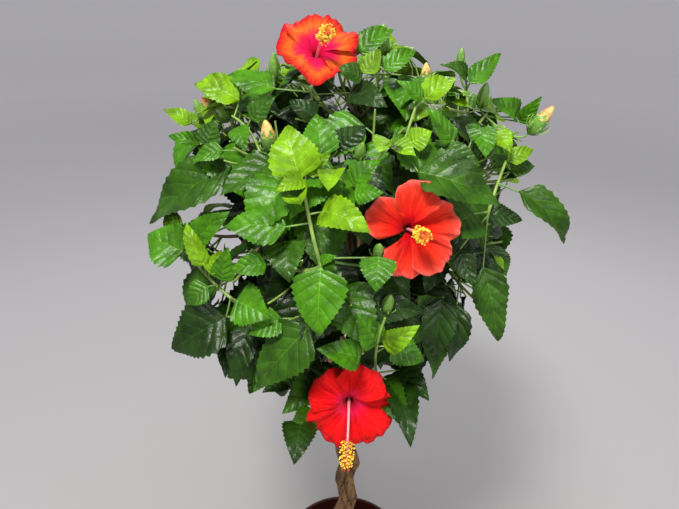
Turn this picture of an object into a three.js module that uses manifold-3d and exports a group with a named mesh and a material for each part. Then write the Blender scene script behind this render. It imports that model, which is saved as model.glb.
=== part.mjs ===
// A potted hibiscus standard: three braided stems, a rounded leafy head, three open blooms and a round pot.
// Millimetres, +Z up. The front faces -Y, and the origin is the centre of the pot's flat underside.

import * as THREE from "three";
import { mergeVertices } from "three/addons/utils/BufferGeometryUtils.js";
import Module from "manifold-3d";

const wasm = await Module();
wasm.setup();

// ---- driving dimensions ----

const clearance = 0.3; // between solids that touch on the real plant

const pot = {
  height: 235,
  rimRadius: 127,
  footRadius: 94,
  wall: 3,
  floor: 5,
  lipHeight: 16,
  lipStep: 4, // how far the lip stands out from the wall
  sides: 32,
};
const soil = { level: 200, shoulder: 70, edgeDrop: 5 };

const stem = {
  count: 3,
  footRadius: 9.5, // at the soil, in the root flare
  radius: 6.4, // through the braid
  tipRadius: 5.2,
  flareHeight: 55,
  top: 800,
  sides: 6,
  steps: 22,
};
const braid = {
  sideways: 13.2, // how far a stem swings to each side
  deep: 13.6, // how far it swings to the front and back
  pitch: 268, // height of one full plait
  widest: 478, // height where the first stem stands furthest right
  breathing: 1.7, // how much wider and narrower the plait grows, twice in each pitch
  footSpread: 0.6, // share by which it widens at the soil
  end: 610, // height where the stems begin to part
  spread: 46, // distance of each stem's tip from the axis
};

const crown = { middle: 960, radius: 276, above: 260, below: 188, seed: 15000 };
const footShare = 0.42; // where a mass starts, from the crown's middle to its outline
const heartShare = 0.66; // the middle of a mass
const tipShare = 0.93; // the ends of its shoots
const leafOverhang = 30; // how much nearer a leaf may come to another mass's heart than to its own
// The masses of foliage stand in rings. forkAt is where their boughs leave the stems, as a share of the stem, and
// lift is how far their leaves are kept from hanging.
const rings = [
  { name: "low", elevation: -34, count: 6, first: -26, forkAt: 0.79, shoots: 5, lift: 0.5 },
  { name: "middle", elevation: 4, count: 6, first: -4, forkAt: 0.86, shoots: 6, lift: 0.1 },
  { name: "upper", elevation: 40, count: 5, first: -12, forkAt: 0.93, shoots: 6, lift: -0.1 },
  { name: "top", elevation: 86, count: 1, first: 0, forkAt: 0.985, shoots: 7, lift: -0.05 },
];
// Masses that reach less far than the rest, as a share: the crown is thinner low on its right.
const reaches = {
  low_2: 0.78,
  low_3: 0.9,
  middle_2: 0.8,
  middle_3: 0.93,
  middle_6: 0.92,
  upper_2: 0.94,
  top_1: 0.95,
};
const bough = { radius: 5.2, tipRadius: 3.4, sides: 5, steps: 3 };
const twig = { stemRadius: 3.6, shootRadius: 3, tipRadius: 2, steps: 2, spread: 27 };
const leaf = { length: 94, width: 0.7, stalk: 26, perShoot: 9, rib: 0.9, thickness: 0.011 };

// Each bloom: the mass it grows on, its throat, and the way it faces as azimuth from the front towards +X and
// elevation. The column may hang lower than the petals face.
const blooms = [
  { on: "top_1", throat: [-50, -72, 1204], azimuth: 10, elevation: 42, columnElevation: 42 },
  { on: "upper_1", throat: [51, -212, 1053], azimuth: 10, elevation: 18, columnElevation: 20 },
  { on: "middle_1", throat: [-6, -245, 850], azimuth: 2, elevation: 2, columnElevation: -38 },
];
const bloom = {
  petals: 5,
  petalLength: 53, // from the throat
  opening: 67, // degrees between a petal and the column
  notch: 0.2, // how far the edge draws in between petals, as a share
  petal: 1.6, // thickness
  neck: 22, // depth of the tube behind the throat
  tube: 4, // its radius
  column: 74, // from the throat to the column's tip
  clearRadius: 58, // room in front of it without leaves
};

// Each bud: its middle, its lean as azimuth and elevation, and its length.
const buds = [
  { at: [-173, -60, 1136], azimuth: -80, elevation: 40, length: 42 },
  { at: [-98, -150, 1128], azimuth: -25, elevation: 72, length: 40 },
  { at: [-161, -40, 1153], azimuth: -60, elevation: 60, length: 30 },
  { at: [-198, -40, 1131], azimuth: -60, elevation: 70, length: 26 },
  { at: [-100, -62, 1188], azimuth: 0, elevation: 75, length: 30 },
  { at: [28, -20, 1214], azimuth: 0, elevation: 80, length: 36 },
  { at: [84, -20, 1172], azimuth: -20, elevation: 75, length: 34 },
  { at: [133, 20, 1190], azimuth: 0, elevation: 85, length: 24 },
  { at: [154, -40, 1154], azimuth: 20, elevation: 78, length: 32 },
  { at: [223, -60, 1129], azimuth: 60, elevation: 58, length: 42 },
  { at: [20, -232, 1033], azimuth: 0, elevation: 60, length: 28 },
  { at: [31, -252, 984], azimuth: 15, elevation: 68, length: 28 },
  { at: [0, -180, 1123], azimuth: 20, elevation: 60, length: 24 },
];

// The crown seen from a point before it and above. A place in this view is given as across and down, in pixels.
const sight = { eye: [-20, -743, 1293], pitch: 27.3, roll: 0.95, focal: 560, centre: [339.5, 254.5] };

// Leaves that stand in places of their own in this view: the blade's base and its tip, its width as a share of its
// length, and how far out in the crown base and tip lie.
const frontLeaves = [
  { base: [232, 166], tip: [149, 224], width: 0.42, out: [0.86, 1.00] },
  { base: [275, 160], tip: [219, 197], width: 0.58, out: [0.86, 0.97] },
  { base: [300, 180], tip: [287, 126], width: 0.78, out: [0.98, 1.01] },
  { base: [302, 176], tip: [267, 160], width: 0.62, out: [0.98, 1.03] },
  { base: [304, 180], tip: [275, 192], width: 0.55, out: [0.98, 1.04] },
  { base: [305, 173], tip: [331, 154], width: 0.60, out: [0.98, 1.00] },
  { base: [322, 158], tip: [316, 113], width: 0.75, out: [0.86, 0.92] },
  { base: [287, 227], tip: [224, 226], width: 0.62, out: [0.95, 1.00] },
  { base: [184, 252], tip: [148, 236], width: 0.95, out: [0.98, 1.00] },
  { base: [194, 243], tip: [230, 211], width: 0.50, out: [0.95, 0.97] },
  { base: [205, 266], tip: [186, 222], width: 0.36, out: [0.97, 1.00] },
  { base: [208, 272], tip: [222, 250], width: 0.50, out: [0.96, 1.00] },
  { base: [224, 150], tip: [191, 162], width: 0.50, out: [0.93, 0.98] },
  { base: [206, 146], tip: [216, 119], width: 0.85, out: [0.95, 0.98] },
  { base: [200, 145], tip: [169, 137], width: 0.36, out: [0.95, 1.00] },
  { base: [192, 124], tip: [163, 109], width: 0.50, out: [0.97, 1.01] },
  { base: [240, 101], tip: [194, 84], width: 0.46, out: [0.95, 1.00] },
  { base: [276, 89], tip: [223, 76], width: 0.50, out: [0.94, 0.99] },
  { base: [237, 127], tip: [247, 151], width: 0.70, out: [0.93, 0.98] },
  { base: [250, 119], tip: [276, 96], width: 0.60, out: [0.92, 0.95] },
  { base: [316, 119], tip: [289, 101], width: 0.60, out: [0.86, 0.92] },
  { base: [357, 52], tip: [394, 29], width: 0.48, out: [0.96, 1.01] },
  { base: [362, 79], tip: [333, 70], width: 0.60, out: [0.94, 0.98] },
  { base: [363, 74], tip: [381, 50], width: 0.60, out: [0.96, 1.00] },
  { base: [384, 71], tip: [417, 50], width: 0.44, out: [0.97, 1.01] },
  { base: [413, 76], tip: [399, 110], width: 0.62, out: [0.93, 0.98] },
  { base: [424, 100], tip: [456, 78], width: 0.55, out: [0.95, 1.00] },
  { base: [422, 100], tip: [396, 80], width: 0.50, out: [0.95, 0.99] },
  { base: [466, 80], tip: [440, 64], width: 0.42, out: [0.98, 1.01] },
  { base: [469, 84], tip: [501, 54], width: 0.42, out: [0.98, 1.01] },
  { base: [410, 144], tip: [432, 131], width: 0.95, out: [0.93, 0.98] },
  { base: [453, 143], tip: [424, 106], width: 0.48, out: [0.93, 0.98] },
  { base: [417, 172], tip: [500, 207], width: 0.52, out: [0.93, 1.01] },
  { base: [442, 150], tip: [481, 166], width: 0.55, out: [0.90, 0.96] },
  { base: [478, 129], tip: [486, 158], width: 0.75, out: [0.97, 1.02] },
  { base: [496, 131], tip: [512, 153], width: 0.62, out: [0.97, 1.02] },
  { base: [507, 161], tip: [534, 149], width: 0.52, out: [0.95, 0.98] },
  { base: [520, 123], tip: [542, 96], width: 0.46, out: [0.96, 1.00] },
  { base: [509, 170], tip: [535, 166], width: 0.62, out: [0.92, 0.96] },
  { base: [519, 191], tip: [564, 244], width: 0.36, out: [0.97, 1.02] },
  { base: [485, 213], tip: [522, 221], width: 0.55, out: [0.86, 0.94] },
  { base: [473, 213], tip: [440, 240], width: 0.98, out: [0.88, 0.96] },
  { base: [458, 249], tip: [474, 287], width: 0.60, out: [0.84, 0.92] },
  { base: [352, 184], tip: [381, 160], width: 0.62, out: [0.93, 0.97] },
  { base: [354, 196], tip: [384, 192], width: 0.68, out: [0.97, 1.00] },
  { base: [322, 211], tip: [371, 233], width: 0.58, out: [0.98, 1.04] },
  { base: [337, 150], tip: [366, 126], width: 0.80, out: [0.84, 0.90] },
  { base: [350, 92], tip: [388, 107], width: 0.60, out: [0.88, 0.93] },
  { base: [321, 267], tip: [318, 337], width: 0.74, out: [0.98, 1.03] },
  { base: [321, 262], tip: [337, 256], width: 0.55, out: [0.98, 1.00] },
  { base: [285, 240], tip: [290, 283], width: 0.80, out: [0.88, 0.96] },
  { base: [267, 264], tip: [230, 270], width: 0.55, out: [0.92, 0.98] },
  { base: [222, 281], tip: [228, 247], width: 0.58, out: [0.93, 0.96] },
  { base: [208, 286], tip: [188, 305], width: 0.78, out: [0.97, 1.00] },
  { base: [236, 300], tip: [272, 318], width: 0.86, out: [0.96, 1.00] },
  { base: [227, 317], tip: [174, 350], width: 0.72, out: [0.93, 0.99] },
  { base: [248, 326], tip: [236, 387], width: 0.48, out: [0.88, 0.95] },
  { base: [236, 325], tip: [225, 378], width: 0.44, out: [0.86, 0.93] },
  { base: [310, 326], tip: [256, 387], width: 0.56, out: [0.94, 1.01] },
  { base: [361, 357], tip: [316, 349], width: 0.58, out: [0.96, 1.00] },
  { base: [288, 378], tip: [262, 393], width: 0.60, out: [0.84, 0.90] },
  { base: [315, 380], tip: [282, 414], width: 0.58, out: [0.88, 0.95] },
  { base: [313, 410], tip: [289, 437], width: 0.55, out: [0.88, 0.95] },
  { base: [301, 423], tip: [294, 465], width: 0.66, out: [0.86, 0.93] },
  { base: [378, 345], tip: [356, 313], width: 0.64, out: [0.96, 0.98] },
  { base: [384, 347], tip: [420, 325], width: 0.50, out: [0.96, 1.00] },
  { base: [390, 344], tip: [424, 362], width: 0.72, out: [0.92, 0.98] },
  { base: [399, 369], tip: [429, 401], width: 0.60, out: [0.84, 0.90] },
  { base: [380, 379], tip: [412, 433], width: 0.44, out: [0.88, 0.95] },
  { base: [397, 386], tip: [411, 448], width: 0.42, out: [0.84, 0.91] },
  { base: [349, 301], tip: [425, 312], width: 0.50, out: [0.88, 0.94] },
  { base: [379, 256], tip: [376, 292], width: 0.92, out: [0.97, 1.02] },
  { base: [483, 266], tip: [497, 341], width: 0.42, out: [0.86, 0.93] },
  { base: [457, 304], tip: [449, 361], width: 0.36, out: [0.80, 0.86] },
  { base: [441, 298], tip: [432, 358], width: 0.46, out: [0.80, 0.86] },
];

// The outline of the crown in this view, as rows with its left and right edge, and the gaps right through it, each
// as its middle and radius.
const outline = [
  [26, 355, 396],
  [44, 345, 415],
  [56, 262, 421],
  [66, 248, 430],
  [78, 226, 442],
  [90, 206, 463],
  [100, 195, 498],
  [112, 190, 520],
  [138, 194, 528],
  [158, 199, 528],
  [172, 187, 526],
  [190, 168, 511],
  [206, 161, 515],
  [222, 172, 513],
  [236, 165, 506],
  [252, 165, 501],
  [264, 181, 505],
  [290, 192, 508],
  [320, 182, 502],
  [336, 180, 486],
  [346, 182, 467],
  [358, 208, 453],
  [372, 224, 436],
  [388, 230, 431],
  [402, 286, 427],
  [420, 284, 418],
  [446, 283, 408],
  [464, 294, 384],
];
const gaps = [
  [226, 133, 6],
  [252, 150, 5],
  [211, 198, 10],
  [191, 213, 7],
  [228, 201, 5],
  [220, 240, 9],
  [240, 244, 6],
  [246, 276, 5],
  [228, 287, 6],
  [333, 79, 5],
  [318, 90, 7],
  [341, 111, 7],
  [338, 162, 6],
  [371, 88, 6],
  [389, 90, 4],
  [439, 139, 5],
  [488, 177, 7],
  [503, 200, 7],
  [399, 187, 5],
  [441, 195, 5],
  [444, 272, 6],
  [455, 288, 8],
  [475, 305, 8],
  [473, 325, 7],
];

// ---- the growth rule: directions, chance and curves ----

const up = new THREE.Vector3(0, 0, 1);
const goldenTurn = THREE.MathUtils.degToRad(137.508);
const vec = (a) => new THREE.Vector3(...a);

// A direction by azimuth, from the front towards +X, and elevation, in degrees.
function heading(azimuth, elevation) {
  const a = THREE.MathUtils.degToRad(azimuth);
  const e = THREE.MathUtils.degToRad(elevation);
  return new THREE.Vector3(Math.sin(a) * Math.cos(e), -Math.cos(a) * Math.cos(e), Math.sin(e));
}

// The point at a share of the way from the crown's middle to its outline.
function crownPoint(direction, share) {
  return new THREE.Vector3(
    direction.x * crown.radius * share,
    direction.y * crown.radius * share,
    crown.middle + direction.z * (direction.z > 0 ? crown.above : crown.below) * share,
  );
}

// How far out a point is, from the crown's middle to its outline.
function crownShare(point) {
  const height = point.z > crown.middle ? crown.above : crown.below;
  return Math.hypot(point.x / crown.radius, point.y / crown.radius, (point.z - crown.middle) / height);
}

// The view's right and top, and the way it looks.
function sightAxes() {
  const pitch = THREE.MathUtils.degToRad(sight.pitch);
  const roll = THREE.MathUtils.degToRad(sight.roll);
  const ahead = new THREE.Vector3(0, Math.cos(pitch), -Math.sin(pitch));
  const level = new THREE.Vector3(1, 0, 0);
  const upright = new THREE.Vector3().crossVectors(level, ahead);
  const right = level.clone().multiplyScalar(Math.cos(roll)).addScaledVector(upright, Math.sin(roll));
  const top = upright.clone().multiplyScalar(Math.cos(roll)).addScaledVector(level, -Math.sin(roll));
  return { right, top, ahead };
}

const axes = sightAxes();
const eye = vec(sight.eye);

function sightRay([across, down]) {
  const ray = axes.ahead.clone().addScaledVector(axes.right, (across - sight.centre[0]) / sight.focal);
  return ray.addScaledVector(axes.top, (sight.centre[1] - down) / sight.focal).normalize();
}

// The point seen at a place of the view, as far out in the crown as the share says.
function seenAt(place, share) {
  const ray = sightRay(place);
  let best = null;
  for (let away = 280; away < 980; away += 2.5) {
    const point = eye.clone().addScaledVector(ray, away);
    const out = crownShare(point);
    if (out <= share) return point;
    if (!best || out < best.out) best = { out, point };
  }
  return best.point;
}

// The tip of a blade lies about as far from the eye as its base.
function tipSeenAt(base, place, share) {
  const level = base.distanceTo(eye);
  const ray = sightRay(place);
  const reach = 0.6 * eye.clone().addScaledVector(ray, level).distanceTo(base);
  const away = THREE.MathUtils.clamp(seenAt(place, share).distanceTo(eye), level - reach, level + reach);
  return eye.clone().addScaledVector(ray, away);
}

// Whether a point is seen within the crown's outline, and beside its gaps.
function isSeenInside(point, slack = 0) {
  const way = point.clone().sub(eye);
  const depth = way.dot(axes.ahead);
  const across = sight.centre[0] + (sight.focal * way.dot(axes.right)) / depth;
  const down = sight.centre[1] - (sight.focal * way.dot(axes.top)) / depth;
  const after = outline.findIndex(([row]) => row >= down);
  if (after < 1) return false;
  const [low, high] = [outline[after - 1], outline[after]];
  const share = (down - low[0]) / (high[0] - low[0]);
  const left = THREE.MathUtils.lerp(low[1], high[1], share);
  const right = THREE.MathUtils.lerp(low[2], high[2], share);
  if (across < left - slack || across > right + slack) return false;
  return gaps.every(([x, y, radius]) => Math.hypot(across - x, down - y) > radius - slack);
}

// A repeatable stream of numbers from 0 to 1.
function chance(seed) {
  let state = (seed * 7919 + 12345) % 4294967296;
  return () => {
    state = (Math.imul(state, 1664525) + 1013904223) >>> 0;
    return state / 4294967296;
  };
}

const between = (random, low, high) => low + (high - low) * random();
const mix = (a, b, share) => a.clone().lerp(b, share);

// Two directions square to an axis.
function acrossOf(axis) {
  const other = Math.abs(axis.z) > 0.95 ? new THREE.Vector3(0, 1, 0) : up;
  const first = new THREE.Vector3().crossVectors(axis, other).normalize();
  return [first, new THREE.Vector3().crossVectors(axis, first)];
}

// An axis tilted by an angle, towards a turn around it.
function tilted(axis, tilt, turn) {
  const [first, second] = acrossOf(axis);
  const side = first.multiplyScalar(Math.cos(turn)).addScaledVector(second, Math.sin(turn));
  return axis.clone().multiplyScalar(Math.cos(tilt)).addScaledVector(side, Math.sin(tilt)).normalize();
}

// ---- solids ----

function solidOf(geometry) {
  const bare = geometry.clone();
  bare.deleteAttribute("normal");
  bare.deleteAttribute("uv");
  const merged = mergeVertices(bare, 1e-4);
  const vertProperties = new Float32Array(merged.attributes.position.array);
  const triVerts = new Uint32Array(merged.index.array);
  return new wasm.Manifold(new wasm.Mesh({ numProp: 3, vertProperties, triVerts }));
}

function geometryOf(solid) {
  const made = solid.getMesh();
  const geometry = new THREE.BufferGeometry();
  geometry.setAttribute("position", new THREE.BufferAttribute(new Float32Array(made.vertProperties), 3));
  geometry.setIndex(new THREE.BufferAttribute(new Uint32Array(made.triVerts), 1));
  geometry.computeVertexNormals();
  return geometry;
}

const largestBody = (solid) => solid.decompose().reduce((a, b) => (b.volume() > a.volume() ? b : a));

// A cylinder bent along a curve, with flat ends, and a radius given by the share of the way along it.
function limb(curve, radiusAt, sides, steps) {
  const geometry = new THREE.CylinderGeometry(1, 1, 1, sides, steps);
  const frames = curve.computeFrenetFrames(steps, false);
  const position = geometry.attributes.position;
  for (let i = 0; i < position.count; i++) {
    const row = Math.round((position.getY(i) + 0.5) * steps);
    const radius = radiusAt(row / steps);
    const point = curve.getPointAt(row / steps);
    point.addScaledVector(frames.normals[row], position.getX(i) * radius);
    point.addScaledVector(frames.binormals[row], -position.getZ(i) * radius);
    position.setXYZ(i, point.x, point.y, point.z);
  }
  return solidOf(geometry);
}

// A point on the axis of such a limb, which is straight between its rows.
function onAxis(curve, share, steps) {
  const row = Math.min(steps - 1, Math.floor(share * steps));
  return mix(curve.getPointAt(row / steps), curve.getPointAt((row + 1) / steps), share * steps - row);
}

const taper = (from, to) => (share) => from + (to - from) * share;

// A thin blade with six faces: the rib and the heel at its root, two corners at its widest, and the tip.
function blade(root, widest, tip, side, normal, width, rib, thickness) {
  const geometry = new THREE.ConeGeometry(1, 1, 3);
  const along = widest.distanceTo(root) / tip.distanceTo(root);
  const sag = thickness - rib * (1 - along);
  const at = (place, aside, raised) => place.clone().addScaledVector(side, aside).addScaledVector(normal, raised);
  const heel = at(root, 0, -rib);
  const ridge = at(root, 0, rib);
  const left = at(widest, -width / 2, -sag);
  const right = at(widest, width / 2, -sag);
  const position = geometry.attributes.position;
  for (let i = 0; i < position.count; i++) {
    const x = position.getX(i);
    let corner = tip;
    if (position.getY(i) > 0) corner = heel;
    else if (position.getZ(i) > 0.9) corner = ridge;
    else if (Math.abs(x) > 0.5) corner = x > 0 ? left : right;
    position.setXYZ(i, ...corner.toArray());
  }
  return solidOf(geometry);
}

// ---- the pot and its soil ----

// The pot's wall stands straight between its foot and the rim, inside the lip.
const wallRadius = (height) =>
  pot.footRadius + ((pot.rimRadius - pot.lipStep - pot.footRadius) * height) / pot.height;

function potSolid() {
  const lipFoot = pot.height - pot.lipHeight;
  const outline = [
    [0, 0],
    [pot.footRadius, 0],
    [wallRadius(lipFoot), lipFoot],
    [pot.rimRadius - 1, lipFoot],
    [pot.rimRadius, pot.height],
    [wallRadius(pot.height) - pot.wall, pot.height],
    [wallRadius(pot.floor) - pot.wall, pot.floor],
    [0, pot.floor],
  ];
  const profile = outline.map(([x, y]) => new THREE.Vector2(x, y));
  return solidOf(new THREE.LatheGeometry(profile, pot.sides).rotateX(Math.PI / 2));
}

function soilSolid() {
  const inner = (height) => wallRadius(height) - pot.wall - clearance;
  const foot = pot.floor + clearance;
  const outline = [
    [0, foot],
    [inner(foot), foot],
    [inner(soil.level - soil.edgeDrop), soil.level - soil.edgeDrop],
    [soil.shoulder, soil.level],
    [0, soil.level],
  ];
  const profile = outline.map(([x, y]) => new THREE.Vector2(x, y));
  return solidOf(new THREE.LatheGeometry(profile, pot.sides).rotateX(Math.PI / 2));
}

// ---- the braided stems ----

const stemFoot = soil.level + clearance;
const buried = 12; // the stem's line starts this far down, and the solid is cut flat at the soil

const flareAt = (height) => Math.max(0, 1 - (height - stemFoot) / stem.flareHeight) ** 2;
const stemHeight = (share) => stemFoot - buried + (stem.top - stemFoot + buried) * share;

// A stem's line: a three-strand plait that parts above the braid into a leader of its own.
class StemLine extends THREE.Curve {
  constructor(number) {
    super();
    this.phase = (2 * Math.PI * number) / stem.count;
    const end = this.plait(braid.end);
    this.away = new THREE.Vector2(end.x, end.y).normalize().multiplyScalar(braid.spread);
  }
  plait(height) {
    const turn = (2 * Math.PI * (height - braid.widest)) / braid.pitch;
    const angle = turn + Math.PI / 2 + this.phase;
    const breath = braid.breathing * Math.cos(2 * turn);
    const widening = 1 + braid.footSpread * flareAt(height);
    return {
      x: (braid.sideways + breath) * widening * Math.sin(angle),
      y: (braid.deep - breath) * widening * Math.sin(2 * angle),
    };
  }
  getPoint(share, target = new THREE.Vector3()) {
    const height = stemHeight(share);
    const plaited = this.plait(Math.min(height, braid.end));
    const rise = THREE.MathUtils.smoothstep(height, braid.end, stem.top);
    return target.set(
      THREE.MathUtils.lerp(plaited.x, this.away.x, rise),
      THREE.MathUtils.lerp(plaited.y, this.away.y, rise),
      height,
    );
  }
}

function stemRadius(share) {
  const height = stemHeight(share);
  const thinning = THREE.MathUtils.smoothstep(height, braid.end, stem.top);
  return stem.radius + (stem.footRadius - stem.radius) * flareAt(height) + (stem.tipRadius - stem.radius) * thinning;
}

const stemLines = Array.from({ length: stem.count }, (_, number) => new StemLine(number));
const stemSolid = (line, extra = 0) =>
  limb(line, (share) => stemRadius(share) + extra, stem.sides, stem.steps).trimByPlane([0, 0, 1], stemFoot - extra);

// ---- masses of foliage: their places in the crown ----

const masses = rings.flatMap((ring, ringNumber) =>
  Array.from({ length: ring.count }, (_, number) => {
    const outward = heading(ring.first + (360 * number) / ring.count, ring.elevation);
    const name = ring.name + "_" + (number + 1);
    const reach = reaches[name] ?? 1;
    return {
      name,
      ring,
      reach,
      seed: crown.seed + 100 * (ringNumber + 1) + number,
      outward,
      foot: crownPoint(outward, footShare * reach),
      heart: crownPoint(outward, heartShare * reach),
    };
  }),
);

const massNamed = (name) => masses.find((mass) => mass.name === name);

// Every point belongs to the mass whose heart, or whose bloom, is nearest.
const sites = [
  ...masses.map((mass) => ({ mass, place: mass.heart })),
  ...blooms.map((open) => ({
    mass: massNamed(open.on),
    place: vec(open.throat).addScaledVector(heading(open.azimuth, open.elevation), 30),
  })),
];

function isWithin(point, mass, slack = 0) {
  let own = Infinity;
  let other = Infinity;
  for (const site of sites) {
    const away = point.distanceTo(site.place);
    if (site.mass === mass) own = Math.min(own, away);
    else other = Math.min(other, away);
  }
  return other - own > 2 * clearance - slack;
}

// A bough leaves the nearest stem at its ring's height and arches out to the foot of its mass.
function boughLine(mass) {
  const starts = stemLines.map((line) => line.getPoint(mass.ring.forkAt));
  const start = starts.reduce((a, b) => (b.distanceTo(mass.foot) < a.distanceTo(mass.foot) ? b : a));
  const bend = mix(start, mass.foot, 0.5);
  bend.z += 0.12 * start.distanceTo(mass.foot);
  bend.addScaledVector(mass.outward, 12);
  return new THREE.QuadraticBezierCurve3(start, bend, mass.foot);
}

// The stem inside a mass goes on from the bough's tip, a clearance away, to the heart.
function massStemLine(mass) {
  const end = mass.boughLine.getTangent(1);
  const start = mass.foot.clone().addScaledVector(end, clearance);
  const bend = start.clone().addScaledVector(end, 26);
  return new THREE.QuadraticBezierCurve3(start, bend, mass.heart);
}

// Shoots leave the stem one by one, and fan out to the crown's outline.
function shootLines(mass, random) {
  const lines = [];
  for (let number = 0; number < mass.ring.shoots; number++) {
    const share = (number + 0.5) / mass.ring.shoots;
    const tilt = THREE.MathUtils.degToRad(twig.spread * Math.sqrt(share) * between(random, 0.85, 1.15));
    const direction = tilted(mass.outward, tilt, number * goldenTurn + mass.seed);
    const start = onAxis(mass.stemLine, 0.25 + 0.72 * (1 - share), twig.steps);
    const tip = crownPoint(direction, tipShare * mass.reach * between(random, 0.93, 1.03));
    const bend = mix(start, tip, 0.5).addScaledVector(up, -20 * between(random, 0.2, 1));
    lines.push(new THREE.QuadraticBezierCurve3(start, bend, tip));
  }
  return lines;
}

// Leaves stand round a shoot by the golden turn, each on its stalk. The older are larger, and hang more.
function leavesOn(line, mass, random) {
  const leaves = [];
  const firstTurn = between(random, 0, 2 * Math.PI);
  for (let number = 0; number < leaf.perShoot; number++) {
    const youth = number / (leaf.perShoot - 1);
    const share = 0.2 + 0.78 * youth ** 0.85;
    const root = onAxis(line, share, twig.steps);
    const axis = line.getTangent(share);
    const opening = THREE.MathUtils.degToRad(74 - 34 * youth);
    const outward = tilted(axis, opening, firstTurn + number * goldenTurn);
    outward.addScaledVector(mass.outward, 0.3).addScaledVector(up, 0.2).normalize();
    const length = leaf.length * (1 - 0.55 * youth ** 1.6) * between(random, 0.88, 1.1);
    const stalk = leaf.stalk * (1 - 0.5 * youth) * between(random, 0.8, 1.3);
    const droop = (1.35 - 0.75 * youth) * between(random, 0.85, 1.15) * (1 - mass.ring.lift);
    const direction = outward.clone().addScaledVector(up, -droop).normalize();
    const roll = between(random, -0.2, 0.2);
    const width = leaf.width * between(random, 0.92, 1.08);
    const base = root.clone().addScaledVector(outward, stalk);
    leaves.push({ youth, ...leafAt(root, base, direction, length, width, roll, mass.outward) });
  }
  return leaves;
}

// A leaf by its root on the shoot, the base of its blade and the way the blade points.
function leafAt(root, base, direction, length, widthShare, roll, outward) {
  const tip = base.clone().addScaledVector(direction, length);
  const light = up.clone().multiplyScalar(0.6).addScaledVector(outward, 0.8);
  const level = light.addScaledVector(direction, -light.dot(direction)).normalize();
  const across = new THREE.Vector3().crossVectors(direction, level);
  const normal = level.multiplyScalar(Math.cos(roll)).addScaledVector(across, Math.sin(roll));
  const side = new THREE.Vector3().crossVectors(direction, normal);
  return { root, base, tip, length, normal, side, width: length * widthShare };
}

// The point of a mass's shoots and stem that lies nearest to a place.
function nearestOn(mass, place) {
  let best = null;
  const shoots = mass.shoots.filter((shoot) => shoot.rod);
  for (const line of [mass.stemLine, ...shoots.map((shoot) => shoot.line)]) {
    for (let share = 0.1; share < 0.96; share += 0.05) {
      const point = onAxis(line, share, twig.steps);
      if (!best || point.distanceTo(place) < best.distanceTo(place)) best = point;
    }
  }
  return best;
}

for (const mass of masses) {
  const random = chance(mass.seed);
  mass.boughLine = boughLine(mass);
  mass.stemLine = massStemLine(mass);
  mass.shoots = shootLines(mass, random).map((line) => ({ line, leaves: leavesOn(line, mass, random) }));
}

// ---- solids of the masses ----

// The solid of a leaf runs straight from its root to its tip, and the stalk is its narrow end.
function leafSolid(made) {
  const run = made.tip.clone().sub(made.root);
  const share = 1 - (0.55 * made.length) / run.length();
  const side = made.side.clone().addScaledVector(run, -made.side.dot(run) / run.lengthSq()).normalize();
  const normal = new THREE.Vector3().crossVectors(side, run).normalize();
  const widest = mix(made.root, made.tip, share);
  return blade(made.root, widest, made.tip, side, normal, made.width, leaf.rib, leaf.thickness * run.length());
}

// No two of them start at the very same point of a shoot.
function frontLeaf(mark, number, base, mass) {
  const run = tipSeenAt(base, mark.tip, mark.out[1]).sub(base);
  const direction = run.clone().normalize();
  const outward = eye.clone().sub(base).normalize().add(mass.outward).normalize();
  const root = nearestOn(mass, base).addScaledVector(up, 0.23 * (number % 7) - 0.7);
  return leafAt(root, base, direction, run.length(), mark.width, 0, outward);
}

function budSolids(bud, mass) {
  const lean = heading(bud.azimuth, bud.elevation);
  const foot = vec(bud.at).addScaledVector(lean, -bud.length / 2);
  const shape = [0.4, 1, 0.85, 0.2];
  const body = new THREE.LineCurve3(foot, vec(bud.at).addScaledVector(lean, bud.length / 2));
  const root = nearestOn(mass, foot).addScaledVector(lean, -0.025 * bud.length);
  const stalk = new THREE.QuadraticBezierCurve3(
    root,
    foot.clone().addScaledVector(lean, -0.4 * foot.distanceTo(root)),
    foot.clone().addScaledVector(lean, 0.2 * bud.length),
  );
  return [
    limb(body, (share) => 0.22 * bud.length * shape[Math.round(share * 3)], 4, 3),
    limb(stalk, taper(1.8, 1.3), 3, 2),
  ];
}

// The petals of a bloom are one thin cup with a lobe for each, open round the column.
function corollaSolid(neck, throat, facing) {
  const rim = bloom.petalLength * Math.sin(THREE.MathUtils.degToRad(bloom.opening));
  const depth = bloom.neck + bloom.petalLength * Math.cos(THREE.MathUtils.degToRad(bloom.opening));
  const outline = [[0, 0], [bloom.tube, 0], [bloom.tube + 3, bloom.neck], [rim, depth]];
  outline.push([rim - 1, depth + bloom.petal], [bloom.tube + 2, bloom.neck + 2 * bloom.petal], [0, bloom.neck]);
  const profile = outline.map(([x, y]) => new THREE.Vector2(x, y));
  const geometry = new THREE.LatheGeometry(profile, 2 * bloom.petals);
  const [first, second] = acrossOf(facing);
  const position = geometry.attributes.position;
  for (let i = 0; i < position.count; i++) {
    const [x, y, z] = [position.getX(i), position.getY(i), position.getZ(i)];
    const turn = Math.atan2(z, x);
    const lobe = y > depth - 1 ? 1 - bloom.notch * (0.5 - 0.5 * Math.cos(bloom.petals * turn)) : 1;
    const point = neck.clone().addScaledVector(facing, y);
    point.addScaledVector(first, x * lobe).addScaledVector(second, -z * lobe);
    position.setXYZ(i, point.x, point.y, point.z);
  }
  return solidOf(geometry);
}

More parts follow.
